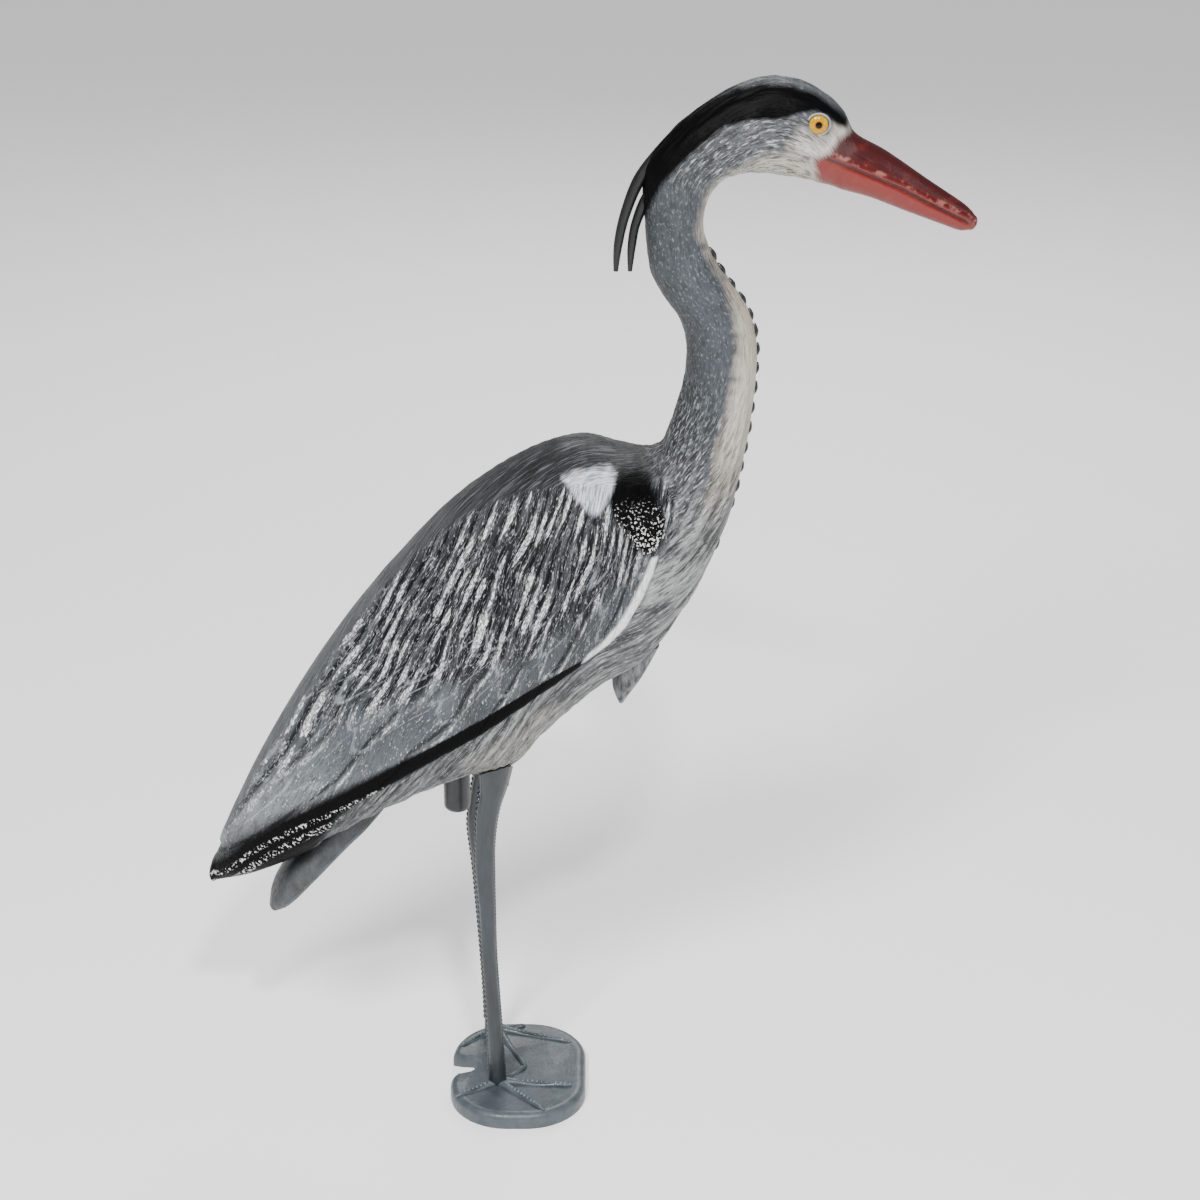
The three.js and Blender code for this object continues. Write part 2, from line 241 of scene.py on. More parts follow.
def noise(u, v, seed=0):
    """Smooth noise from -1 to 1, with features about one unit across."""
    iu, iv = np.floor(u).astype(np.int64), np.floor(v).astype(np.int64)
    fu, fv = u - iu, v - iv
    fu, fv = fu * fu * (3 - 2 * fu), fv * fv * (3 - 2 * fv)
    low = lattice(iu, iv, seed) * (1 - fu) + lattice(iu + 1, iv, seed) * fu
    high = lattice(iu, iv + 1, seed) * (1 - fu) + lattice(iu + 1, iv + 1, seed) * fu
    return low * (1 - fv) + high * fv


def ramp(value, low, high):
    """0 at low and beyond it, 1 at high and beyond it, and smooth between."""
    share = np.clip((value - low) / (high - low), 0, 1)
    return share * share * (3 - 2 * share)


print("noise sample", round(float(noise(np.array([0.5]), np.array([2.5]))[0]), 3))


# %% [markdown]
# ## Lines that the mould and the paint follow
# The folded wing is a raised plate on the side of the body. Its edge, the paint stripes and the
# mask of the head are drawn as a few points on the side view, in mm, and are the same on both
# sides of the bird.

# %% Guide lines
WING_EDGE = [(44, 512), (56, 500), (64, 486), (69, 471), (66, 457), (59, 445), (49, 421), (39, 403),
             (27, 388), (12, 375), (-7, 361), (-35, 341), (-63, 320), (-91, 302), (-120, 281),
             (-149, 260), (-163, 247), (-178, 222), (-196, 186), (-206, 160)]
STRIPE_TOP = [(8, 378), (-7, 370), (-35, 352), (-62, 333), (-90, 315), (-119, 297), (-155, 274),
              (-177, 260), (-208, 240), (-240, 214), (-252, 201), (-263, 190)]
FEATHER_TOP = [(-250, 214), (-225, 246), (-200, 278), (-168, 316), (-132, 337), (-97, 351),
               (-62, 371), (-34, 383), (-7, 401), (20, 424), (50, 452)]
WRIST = [(58, 449), (55, 437), (48, 421), (39, 404), (28, 389), (16, 380), (7, 374), (11, 382),
         (21, 391), (31, 404), (40.5, 420), (48, 435), (54, 448)]
TRIANGLE = [(-5, 494.2), (4, 497.2), (14, 498.7), (26, 498.2), (30, 495.2), (28, 488.2),
            (22, 479.2), (17, 475.2), (12, 478.2), (3, 486.2)]
PATCH = [(35, 494), (44, 496), (53, 491), (60, 482), (64, 470), (61, 457), (54, 450), (46, 453),
         (37, 463), (26, 478), (24, 485), (29, 491)]
MASK_LOW = [(189, 719), (182, 728), (174, 731), (166, 738), (159, 741), (149, 740), (139, 737),
            (119, 736), (101, 732), (86, 720), (71, 706), (61, 694), (54, 680), (50, 668)]
MASK_HIGH = [(186, 731), (180, 735), (170, 743), (159, 751), (144, 756), (124, 757), (106, 753),
             (91, 746), (79, 739), (60, 730)]
GAPE = [(167, 710), (187, 701), (203, 694), (219, 687), (235, 678), (251, 670), (263, 664)]
NOSTRIL = [(186, 713), (200, 704)]
BILL_EDGE = [(190, 732), (183, 725), (175, 722), (171, 714), (161, 709), (162, 700), (166, 684)]
FACE = [(150, 728), (156, 722), (166, 722), (172, 729), (181, 731), (188, 722), (176, 706), (164, 706),
        (150, 713), (143, 720)]
BELLY_PATCH = [(-8, 332), (-20, 331), (-36, 316), (-52, 304), (-70, 292), (-60, 262), (-20, 290)]
THROAT = [(176, 716), (161, 714), (140, 715), (124, 711), (110, 704), (99, 696), (90, 684),
          (86, 668), (86, 654), (93, 642), (104, 625), (111, 609), (113, 594), (114, 580),
          (112, 562), (109, 546), (106, 532), (100, 513), (97, 494), (92, 476), (86, 455),
          (76, 430)]


def off_line(x, z, line):
    """Signed distance in mm from points to a line: positive on the left of its direction."""
    best = np.full(x.shape, 1e9)
    sign = np.ones(x.shape)
    for (ax, az), (bx, bz) in zip(line, line[1:]):
        dx, dz = bx - ax, bz - az
        share = np.clip(((x - ax) * dx + (z - az) * dz) / (dx * dx + dz * dz), 0, 1)
        gap = np.hypot(x - ax - share * dx, z - az - share * dz)
        side = np.where(dx * (z - az) - dz * (x - ax) >= 0, 1.0, -1.0)
        nearer = gap < best - 1e-9
        best = np.where(nearer, gap, best)
        sign = np.where(nearer, side, sign)
    return best * sign


def within(x, z, corners):
    """Signed distance in mm from points to a closed outline: positive inside it."""
    best = np.full(x.shape, 1e9)
    crossings = np.zeros(x.shape, int)
    for (ax, az), (bx, bz) in zip(corners, corners[1:] + corners[:1]):
        dx, dz = bx - ax, bz - az
        share = np.clip(((x - ax) * dx + (z - az) * dz) / (dx * dx + dz * dz), 0, 1)
        best = np.minimum(best, np.hypot(x - ax - share * dx, z - az - share * dz))
        spans = (az > z) != (bz > z)
        level = dz if abs(dz) > 1e-9 else 1e-9
        crossings += spans & (x < ax + dx * (z - az) / level)
    return np.where(crossings % 2 == 1, best, -best)


print("guide lines ready")


# %% [markdown]
# ## Relief
# The mould is cut with feather work of about a millimetre: long hanging strands on the mantle,
# overlapping flight feathers above the wing's edge, short strokes on the cheek and the breast,
# and a fine pebble on the neck. All of it is real geometry, so it also shows in the outline.

# %% Feather work of the mould
PIVOT = (138, 850)       # the strands of the mantle fan out from this point, in mm
PIVOT_REACH = 450        # typical distance of the mantle from it


def strand_grain(x, z):
    """Across and along the hanging strands, in mm."""
    dx, dz = x - PIVOT[0], z - PIVOT[1]
    across = np.arctan2(-dx, -dz) * PIVOT_REACH
    return across, np.hypot(dx, dz)


STRAND = 6.2             # distance between hanging strands, in mm
FEATHER = 18.0           # width of a flight feather, in mm
LOCK = 3.3               # distance between the locks of the breast, in mm


def swaying_grain(x, z):
    """The strand grain with a slow sway, so that no strand is straight."""
    across, along = strand_grain(x, z)
    calm = 0.25 + 0.75 * ramp(x, -200, -110)
    sway = 4.5 * noise(across / 42, along / 60, 3) + 2.2 * noise(across / 15, along / 28, 4)
    return across + sway * calm, along


def strand_height(across, along):
    cell = np.floor(across / STRAND + 0.5)
    ridge = np.cos(np.pi * (across / STRAND - cell)) ** 2
    life = 0.62 + 0.5 * noise(cell * 3.7, along / 36, 11)
    return 2.3 * ridge * life - 0.85 + 0.45 * noise(across / 3.3, along / 24, 12)


def feather_height(across, along):
    share = (across - along * 0.2) / FEATHER
    share = share - np.floor(share)
    vane = 1.2 * share ** 0.8 - 0.6 - 0.7 * ramp(share, 0.9, 1.0)
    return vane + 0.55 * noise(across / 4.5, along / 26, 15)


def wing_relief(x, z, ridge):
    """Height of the mantle strands and the flight feathers; ridge is 1 along the bird's back."""
    across, along = swaying_grain(x, z)
    mantle = ramp(off_line(x, z, FEATHER_TOP), -9, 5)
    strands = strand_height(across, along) * (1 - 0.85 * ridge)
    above_stripe = ramp(-off_line(x, z, STRIPE_TOP), -0.8, 0.8)
    grey_plate = (1.0 + 1.4 * ramp(-150 - x, 0, 80)) * above_stripe
    feathers = feather_height(across, along) * (1 - mantle) * (0.2 + 0.8 * above_stripe)
    return strands * mantle + feathers + grey_plate - 0.9


def body_relief(x, z, around, along, number):
    """Height of the strokes on head, neck, breast and flank; number is the rib number."""
    fine = 0.25 * noise(around / 2.8, along / 5, 21)
    stroke = noise(around / 3.0 + along / 24, along / 13, 23)
    cheek = 0.75 * np.clip(stroke, -0.5, 1)
    lock = noise((around + along * 0.35) / LOCK, along / 24, 24)
    breast = 1.15 * np.clip(lock, -0.6, 1) + 0.3 * noise(around / 3, along / 12, 25)
    on_cheek = ramp(number, 22.0, 24.5) * (1 - ramp(number, 28.2, 29.2))
    on_breast = 1 - ramp(number, 12.8, 16.0)
    return fine + cheek * on_cheek + breast * on_breast


print("relief functions ready")


# %% Skin of the bird
def section_grid(rows, columns):
    """Points of the undecorated form, with the rib number and the angle of each."""
    ribs = smooth_ribs(rows)
    angle = np.linspace(0, 2 * np.pi, columns, endpoint=False)
    back = ribs[:, None, 0:2]
    front = ribs[:, None, 2:4]
    widest = ribs[:, None, 5]
    half = np.where(np.cos(angle) > 0, widest, 1 - widest)
    share = widest - half * np.cos(angle)
    flat = back + (front - back) * share[..., None]
    side = -ribs[:, None, 4] * np.sin(angle)
    points = np.stack([flat[..., 0], side, flat[..., 1]], axis=-1)
    number = np.repeat(rows[:, None], columns, axis=1)
    return points, number, np.repeat(angle[None, :], len(rows), axis=0)


def grid_normals(points):
    along = np.gradient(points, axis=0)
    around = np.roll(points, -1, axis=1) - np.roll(points, 1, axis=1)
    normal = np.cross(around, along)
    return normal / np.maximum(np.linalg.norm(normal, axis=-1, keepdims=True), 1e-9)


def along_length(number):
    """Distance from the wing tips in mm, for rib numbers."""
    rows = np.concatenate([TORSO_ROWS, NECK_ROWS[1:]])
    step = np.concatenate([np.full(len(TORSO_ROWS), TORSO_STEP),
                           np.full(len(NECK_ROWS) - 1, NECK_STEP)])
    return np.interp(number, rows, np.cumsum(step) - step[0])


WING_LIFT = 2.8


def relief_of(points, number, angle):
    """All the relief at each grid point: height in mm, wing share, and both grains."""
    x, z = points[..., 0], points[..., 2]
    ribs = smooth_ribs(np.ravel(number)).reshape(number.shape + (6,))
    depth = np.hypot(ribs[..., 2] - ribs[..., 0], ribs[..., 3] - ribs[..., 1])
    folded = np.minimum(angle, 2 * np.pi - angle)
    around = folded * (depth * 0.25 + ribs[..., 4] * 0.5)
    along = along_length(number)
    on_torso = ramp(13.2 - number, 0, 0.8)
    from_edge = off_line(x, z, WING_EDGE[::-1])
    shoulder = ramp(z, 440, 485)
    fringe = 3 * noise(around / 5, along / 9, 27)
    wing = ramp(from_edge, -1.2, 2.2) * (1 - shoulder) + ramp(from_edge + fringe, -9, 7) * shoulder
    wing = wing * on_torso
    ridge_half = np.radians(34 - 8 * ramp(number, 2.5, 5.0) + 20 * ramp(number, 5.0, 8.5))
    ridge = ramp(ridge_half - folded, 0, 0.35) * ramp(number, 0.2, 1.0)
    height = WING_LIFT * wing
    height = height + wing * wing_relief(x, z, ridge)
    height = height + (1 - wing) * body_relief(x, z, around, along, number)
    return height, wing, ridge, around, along


def bill_relief(x, z):
    """The groove between the two halves of the bill, a ridge above it and a nostril."""
    gap = off_line(x, z, GAPE)
    on_bill = ramp(x, 166, 176) * (1 - ramp(x, 262, 268))
    groove = -1.1 * np.exp(-(gap / 1.1) ** 2)
    ridge = 1.2 * np.exp(-((gap - 2.8) / 1.5) ** 2)
    nostril = -0.7 * np.exp(-(off_line(x, z, NOSTRIL) / 0.9) ** 2)
    return (groove + ridge) * on_bill + nostril


def skin_part(rows, columns):
    points, number, angle = section_grid(rows, columns)
    height, wing, ridge, around, along = relief_of(points, number, angle)
    x, z = points[..., 0], points[..., 2]
    on_bill = ramp(off_line(x, z, BILL_EDGE), -1, 2) * ramp(number, 28, 29)
    height = height * (1 - on_bill) + bill_relief(x, z) * on_bill
    skin = points + grid_normals(points) * height[..., None]
    across, down = swaying_grain(x, z)
    folded = np.minimum(angle, 2 * np.pi - angle)
    return dict(base=points, skin=skin, number=number, angle_folded=folded, wing=wing, ridge=ridge,
                around=around, along=along, across=across, down=down, height=height)


torso = skin_part(TORSO_ROWS, TORSO_COLUMNS)
neck = skin_part(NECK_ROWS[1:], NECK_COLUMNS)
print("skin points", torso["skin"].shape[:2], neck["skin"].shape[:2])


# %% [markdown]
# The two grids are stitched with a row of triangles, where the neck has half as many columns,
# and each end is closed with a small rounded cap.

# %% Faces of the skin
def ring_faces(first, rows, columns):
    faces = []
    for i in range(rows - 1):
        for j in range(columns):
            k = (j + 1) % columns
            a, b = first + i * columns + j, first + i * columns + k
            faces.append((a, b, b + columns, a + columns))
    return faces


CAP_ROUNDS = 3           # rings in each rounded cap


def cap_points(ring, outward):
    """Rings that round off an open end, and the point that closes it."""
    centre = ring.mean(axis=0)
    rings = []
    size = np.linalg.norm(ring - centre, axis=1).min()
    for step in range(1, CAP_ROUNDS + 1):
        lean = step / (CAP_ROUNDS + 1) * np.pi / 2
        rings.append(centre + (ring - centre) * math.cos(lean) + outward * size * 0.8 * math.sin(lean))
    return rings, centre + outward * size * 0.8


def cap_faces(ring_starts, tip, columns, flip):
    faces = []
    for start, following in zip(ring_starts, ring_starts[1:]):
        for j in range(columns):
            k = (j + 1) % columns
            faces.append((start + j, start + k, following + k, following + j))
    faces += [(ring_starts[-1] + j, ring_starts[-1] + (j + 1) % columns, tip) for j in range(columns)]
    return [face[::-1] for face in faces] if flip else faces


def unit(vector):
    return vector / np.linalg.norm(vector)


torso_count = torso["skin"].shape[0] * TORSO_COLUMNS
neck_count = neck["skin"].shape[0] * NECK_COLUMNS
vertices = [torso["skin"].reshape(-1, 3), neck["skin"].reshape(-1, 3)]
faces = ring_faces(0, len(TORSO_ROWS), TORSO_COLUMNS)
faces += ring_faces(torso_count, len(NECK_ROWS) - 1, NECK_COLUMNS)
seam = torso_count - TORSO_COLUMNS
for j in range(NECK_COLUMNS):
    k = (j + 1) % NECK_COLUMNS
    fine = [seam + 2 * j, seam + 2 * j + 1, seam + (2 * j + 2) % TORSO_COLUMNS]
    faces.append((fine[0], fine[1], torso_count + j))
    faces.append((fine[1], torso_count + k, torso_count + j))
    faces.append((fine[1], fine[2], torso_count + k))

total = torso_count + neck_count
for ring, columns, start, flip in (
    (torso["skin"][0], TORSO_COLUMNS, 0, True),
    (neck["skin"][-1], NECK_COLUMNS, total - NECK_COLUMNS, False),
):
    inner = torso["skin"][3] if flip else neck["skin"][-4]
    rings, tip = cap_points(ring, unit(ring.mean(axis=0) - inner.mean(axis=0)))
    starts = [start] + [total + n * columns for n in range(len(rings))]
    vertices += rings + [tip[None, :]]
    total += len(rings) * columns + 1
    faces += cap_faces(starts, total - 1, columns, flip)
vertices = np.concatenate(vertices)
print("skin has", len(vertices), "points and", len(faces), "faces")


# %% [markdown]
# ## Paint of the bird
# The real bird is sprayed. Each point of the skin gets a paint colour worked out
# from its place: slate head and neck with a cream throat, a dark mantle whose raised strands
# get a painted highlight, and grey flight feathers with black and white stripes below them.

# %% Paint colours
PAINT = {name: np.array(linear(code)) for name, code in dict(
    slate="#43484D", slate_dark="#202327", crown="#56595C", cream="#BDB6AA", cream_warm="#94866C",
    flank="#606365", flank_dark="#25282A", flank_pale="#9C9D9C", mantle="#1B1D1F",
    mantle_highlight_grey="#4A4C4F", mantle_brown="#202123", feather="#555B61", feather_dark="#22262B",
    feather_pale="#989DA1", ridge_grey="#5A5C5E", face="#A39E95", face_white="#CBC8C1",
).items()}


def lay(under, colour, amount):
    """Paint of one colour laid over another, by an amount from 0 to 1 at each point."""
    return under + (colour - under) * np.clip(amount, 0, 1)[..., None]


def all_over(name, x):
    """One paint at every point."""
    return np.broadcast_to(PAINT[name], x.shape + (3,))


def neck_and_head(part, x, z):
    number, around, along = part["number"], part["around"], part["along"]
    cloud = noise(x / 16, z / 22, 33)
    speckle = noise(around / 3, along / 4, 31)
    wobble = 1.6 * noise(along / 6, z / 5, 34) + 1.2 * noise(around / 3, along / 3, 35)
    colour = all_over("slate", x)
    colour = lay(colour, PAINT["slate_dark"], 0.25 + 0.3 * speckle + 0.3 * cloud)
    colour = lay(colour, PAINT["slate_dark"], ramp(part["angle_folded"], 2.0, 0.3) * 0.55)
    colour = lay(colour, PAINT["crown"], ramp(number, 23.6, 26) * 0.55)
    cream = lay(all_over("cream", x), PAINT["cream_warm"], 0.22 + 0.35 * cloud)
    cream = lay(cream, PAINT["flank"], ramp(450 - z, -30, 30) * 0.8)
    throat = off_line(x, z, THROAT) + wobble
    colour = lay(colour, cream, ramp(throat - 1.5 * ramp(z, 600, 640), -7, 5) * ramp(z, 425, 480))
    face = within(x, z, FACE) + wobble
    colour = lay(colour, PAINT["face"], ramp(face, -7, 1))
    return lay(colour, PAINT["face_white"], ramp(face, 0, 5) * 0.7)


def wing_paint(x, z, part):
    across, along = part["across"], part["down"]
    mottle = noise(across / 9, along / 26, 51)
    mantle = all_over("mantle", x)
    # The mantle's raised strands are painted lighter by their height, a painted highlight; a little of
    # the same grey is mottled in everywhere.
    mantle = lay(mantle, PAINT["mantle_highlight_grey"],
                 ramp(part["height"] - 2.4, 0.2, 1.4) * 0.8 + 0.2 * mottle)
    back = lay(all_over("mantle_brown", x), PAINT["ridge_grey"], ramp(-40 - x, -30, 110) * 0.9)
    mantle = lay(mantle, back, part["ridge"])
    mantle = lay(mantle, PAINT["feather"], ramp(-110 - x, -20, 90) * 0.6)
    flight = lay(all_over("feather", x), PAINT["feather_dark"],
                 0.3 + 0.4 * mottle + ramp(x, -110, 0) * 0.35)
    flight = lay(flight, PAINT["feather_pale"], ramp(-175 - x, -30, 60) * 0.5)
    return lay(flight, mantle, ramp(off_line(x, z, FEATHER_TOP) + 4 * mottle, -12, 8))


def body_paint(colour, x, z, part):
    around, along = part["around"], part["along"]
    streak = noise((around + along * 0.35) / LOCK, along / 24, 24)
    fleck = noise(around / 2.4, along / 9, 55)
    flank = lay(all_over("flank", x), PAINT["flank_dark"], 0.42 - 0.9 * streak)
    flank = lay(flank, PAINT["flank_pale"], ramp(streak + 0.3 * fleck, 0.1, 0.8) * 0.8)
    flank = lay(flank, PAINT["cream"], ramp(within(x, z, BELLY_PATCH), -14, 6) * 0.4)
    upper_breast = ramp(z, 395, 430) * ramp(z, 505, 470)
    flank = lay(flank, PAINT["flank_pale"], upper_breast * ramp(0.45 + streak, 0, 0.6) * 0.75)
    low_enough = ramp(14.6 - part["number"] + 0.5 * streak, 0, 1.8) * ramp(505 - z, -20, 60)
    return lay(colour, flank, low_enough)


def paint_of(part):
    x, z = part["base"][..., 0], part["base"][..., 2]
    colour = neck_and_head(part, x, z)
    colour = body_paint(colour, x, z, part)
    return lay(colour, wing_paint(x, z, part), part["wing"])


def edges_of(part):
    """Signed distances in mm to the sharp paint edges, positive inside the painted area."""
    x, z, number = part["base"][..., 0], part["base"][..., 2], part["number"]
    on_wing = off_line(x, z, WING_EDGE[::-1])
    stripe = np.minimum(np.minimum(off_line(x, z, STRIPE_TOP), on_wing), (14 - x) * 0.4)
    band = np.minimum(-off_line(x, z, MASK_LOW), off_line(x, z, MASK_HIGH))
    band = np.minimum(band, np.minimum((number - 20.9) * 9, (30.4 - number) * 6))
    bill = np.minimum(off_line(x, z, BILL_EDGE), (number - 28) * 6)
    feather = off_line(x, z, FEATHER_TOP)
    patch = np.minimum(within(x, z, PATCH), on_wing + 2)
    wing_side = on_wing * (number < 14) - 99 * (number >= 14)
    return (np.stack([stripe, band, bill], axis=-1),
            np.stack([within(x, z, WRIST), within(x, z, TRIANGLE), patch], axis=-1),
            np.stack([feather, off_line(x, z, GAPE), wing_side], axis=-1))


NECK_FOOT = 470          # distance from the wing tips to the foot of the neck, in mm


def strokes_of(part):
    """How strong the fine light strokes are: cheek, foot of the neck, breast and flank."""
    number = part["number"]
    cheek = (ramp(number, 21.8, 24.0) * (1 - ramp(number, 28.0, 29.0))
             * ramp(part["angle_folded"], 0.9, 1.3))
    return np.maximum(cheek, 1 - ramp(number, 12.6, 15.6)) * (1 - part["wing"])


def wing_grain(part):
    """Across and along the strands in mm, and the feather count."""
    across, down = part["across"], part["down"]
    return np.stack([across, down, (across - down * 0.2) / FEATHER], axis=-1)


def body_grain(part):
    """Around and along the body in mm, and how far its grain takes over from the wing's."""
    lean = 0.35 * np.minimum(part["along"], NECK_FOOT)
    takes_over = 1 - part["wing"] * (1 - ramp(part["ridge"], 0.3, 0.8))
    return np.stack([part["around"] + lean, part["along"], takes_over], axis=-1)


for part in (torso, neck):
    part["paint"] = paint_of(part)
    part["edges_a"], part["edges_b"], part["edges_c"] = edges_of(part)
    part["wing_grain"], part["body_grain"] = wing_grain(part), body_grain(part)
    part["strokes"] = strokes_of(part)
    part["stripe_row"] = off_line(part["base"][..., 0], part["base"][..., 2], STRIPE_TOP)
print("mean paint", np.round(neck["paint"].mean(axis=(0, 1)), 3))


# %% Body shell as a mesh
def mesh_object(name, points_mm, faces):
    mesh = bpy.data.meshes.new(name)
    mesh.from_pydata((np.asarray(points_mm) * MM).tolist(), [], faces)
    mesh.update()
    obj = bpy.data.objects.new(name, mesh)
    bpy.context.scene.collection.objects.link(obj)
    return obj


def give(mesh, name, kind, values):
    attribute = mesh.attributes.new(name, kind, "POINT")
    field = {"FLOAT_COLOR": "color", "FLOAT_VECTOR": "vector", "FLOAT": "value"}[kind]
    attribute.data.foreach_set(field, np.ascontiguousarray(values, np.float32).ravel())


def caps_like(torso_value, neck_value):
    """Values for every point: both grids, then the caps, which repeat the ring they close."""
    width = torso_value.shape[2:] or ()
    first = torso_value[0].reshape((TORSO_COLUMNS,) + width)
    last = neck_value[-1].reshape((NECK_COLUMNS,) + width)
    parts = [torso_value.reshape((-1,) + width), neck_value.reshape((-1,) + width)]
    for ring in (first, last):
        parts += [ring] * CAP_ROUNDS + [ring.mean(axis=0, keepdims=True)]
    return np.concatenate(parts)


bird = mesh_object("bird_body", vertices, faces)
paint = caps_like(torso["paint"], neck["paint"])
give(bird.data, "paint", "FLOAT_COLOR", np.concatenate([paint, np.ones((len(paint), 1))], axis=1))
for name in ("wing", "ridge", "height", "strokes", "stripe_row"):
    give(bird.data, name, "FLOAT", caps_like(torso[name], neck[name]))
for name in ("wing_grain", "body_grain", "edges_a", "edges_b", "edges_c"):
    give(bird.data, name, "FLOAT_VECTOR", caps_like(torso[name], neck[name]))
bird.data.shade_smooth()
print("bird_body", len(bird.data.vertices), "points")


# %% [markdown]
# ## Pieces drawn along a line
# The tail, the breast tuft, the crest plumes and the legs are all round bars that change size
# along a bent centre line, so one function makes them: a ring of points at each station, joined
# to the next ring, with both ends closed.

# %% Bars along a line
def bar(name, centres, first_axes, second_axes, columns, square=1.0):
    """A closed bar. The axes are the half sizes of each ring, as vectors in mm."""
    angle = np.linspace(0, 2 * np.pi, columns, endpoint=False)
    c = np.sign(np.cos(angle)) * np.abs(np.cos(angle)) ** square
    s = np.sign(np.sin(angle)) * np.abs(np.sin(angle)) ** square
    rings = (centres[:, None] + first_axes[:, None] * c[None, :, None]
             + second_axes[:, None] * s[None, :, None])
    count = len(centres)
    points = np.concatenate([rings.reshape(-1, 3), centres[:1], centres[-1:]])
    sides = [face[::-1] for face in ring_faces(0, count, columns)]
    low, high, last = count * columns, count * columns + 1, (count - 1) * columns
    for j in range(columns):
        k = (j + 1) % columns
        sides += [(low, j, k), (high, last + k, last + j)]
    obj = mesh_object(name, points, sides)
    bpy.context.view_layer.objects.active = obj
    bpy.ops.object.select_all(action="DESELECT")
    obj.select_set(True)
    bpy.ops.object.mode_set(mode="EDIT")
    bpy.ops.mesh.select_all(action="SELECT")
    bpy.ops.mesh.normals_make_consistent(inside=False)
    bpy.ops.object.mode_set(mode="OBJECT")
    obj.data.shade_smooth()
    return obj


def side_view_bar(name, stations, y, columns, steps):
    """A round bar through stations of (x, z, radius) in the plane at y."""
    rows = curve(np.array(stations, float), np.linspace(0, len(stations) - 1, steps))
    centres = np.stack([rows[:, 0], np.full(steps, float(y)), rows[:, 1]], axis=1)
    travel = np.gradient(centres, axis=0)
    travel /= np.linalg.norm(travel, axis=1, keepdims=True)
    across = np.tile([0.0, 1.0, 0.0], (steps, 1))
    normal = np.cross(travel, across)
    size = rows[:, 2:3]
    return bar(name, centres, across * size, normal * size, columns)


OUTER_PLUME = [(61, 711, 5.0), (46, 692, 4.2), (36.5, 668, 3.5), (32, 647, 3.0), (30.5, 629.5, 1.6)]
INNER_PLUME = [(66, 697, 4.6), (52, 681, 4.0), (44, 663, 3.2), (41, 646, 2.9), (40, 629.5, 1.5)]
plume_outer = side_view_bar("plume_outer", OUTER_PLUME, 0, 14, 60)
plume_inner = side_view_bar("plume_inner", INNER_PLUME, 0, 14, 60)
TUFT = [(48, 360, 15), (41.5, 340, 12), (36.5, 324, 8), (35, 310, 1.5)]
tuft = side_view_bar("breast_tuft", TUFT, 0, 20, 40)
print("plumes and tuft:", len(plume_outer.data.vertices) + len(plume_inner.data.vertices), "points")


# %% Tail feathers under the wing tips
TAIL_NORMAL = np.array([-0.77, 0, 0.64])
TAIL = np.array([(-146, 238, 20, 14), (-160, 221, 24, 14), (-174, 206, 25.5, 13.5),
                 (-198, 178, 26, 12.5), (-213.5, 158, 23, 10), (-221, 147.5, 15, 4.5)], float)
TAIL_STEPS = 60
TAIL_FEATHER = 9.0       # width of a tail feather, in mm
rows = curve(TAIL, np.linspace(0, len(TAIL) - 1, TAIL_STEPS))
centres = np.stack([rows[:, 0], np.zeros(TAIL_STEPS), rows[:, 1]], axis=1)
across = np.tile([0.0, 1.0, 0.0], (TAIL_STEPS, 1)) * rows[:, 2:3]
tail = bar("tail_feathers", centres, across, TAIL_NORMAL * rows[:, 3:4], 96, square=0.85)
for vertex in tail.data.vertices:
    side = abs(vertex.co.y) / MM
    vane = side / TAIL_FEATHER - math.floor(side / TAIL_FEATHER)
    groove_mm = 0.9 * math.exp(-((vane - 0.97) / 0.07) ** 2) + 0.25 * vane
    vertex.co -= vertex.normal * groove_mm * MM
tail.data.update()
print("tail", [round(v * 1000) for v in tail.dimensions], "mm")


# %% [markdown]
# ## Black drops on the throat
# A line of raised black drops runs down the front of the neck. One drop is modelled from a sphere
# and copied; each copy lies on the middle line of the skin, pointing down.

# %% Throat drops
def deselect():
    bpy.ops.object.select_all(action="DESELECT")


def finish_shape(obj, name, angle=35):
    """Names a primitive, moves its place into the mesh and smooths it."""
    deselect()
    obj.select_set(True)
    bpy.context.view_layer.objects.active = obj
    bpy.ops.object.transform_apply(location=True, rotation=True, scale=True)
    bpy.ops.object.shade_smooth_by_angle(angle=math.radians(angle))
    obj.name = name
    return obj


def joined(pieces, name):
    deselect()
    for piece in pieces:
        piece.select_set(True)
    bpy.context.view_layer.objects.active = pieces[0]
    bpy.ops.object.join()
    return finish_shape(bpy.context.object, name)


DROP_HEIGHTS = [641, 631, 621, 610.5, 599.5, 588, 575, 561.5, 547.5, 533, 518.5, 504, 490, 476,
                463, 432]
front_t = np.linspace(10, 24, 3000)
front_line = smooth_ribs(front_t)[:, 2:4]
front_line = front_line[front_line[:, 1].argsort()]
bpy.ops.mesh.primitive_uv_sphere_add(segments=16, ring_count=10, radius=1)
drop = bpy.context.object
for vertex in drop.data.vertices:
    narrowing = 1 - 0.45 * vertex.co.z if vertex.co.z > 0 else 1
    vertex.co.x *= narrowing
    vertex.co.y *= narrowing
drops = []
for n, height in enumerate(DROP_HEIGHTS):
    x = float(np.interp(height, front_line[:, 1], front_line[:, 0]))
    slope = x - float(np.interp(height - 6, front_line[:, 1], front_line[:, 0]))
    copy = drop.copy()
    bpy.context.scene.collection.objects.link(copy)
    size = 1.0 - 0.15 * ((n * 7) % 5) / 4
    copy.scale = (2.7 * MM * size, 2.3 * MM, 5.6 * MM * size)
    copy.rotation_euler = (0, math.atan2(slope, 6) + 0.18, 0)
    copy.location = ((x - 0.2) * MM, 0, height * MM)
    copy.data = drop.data.copy()
    drops.append(copy)
bpy.data.objects.remove(drop)
throat_drops = joined(drops, "throat_drops")
print(len(DROP_HEIGHTS), "throat drops")


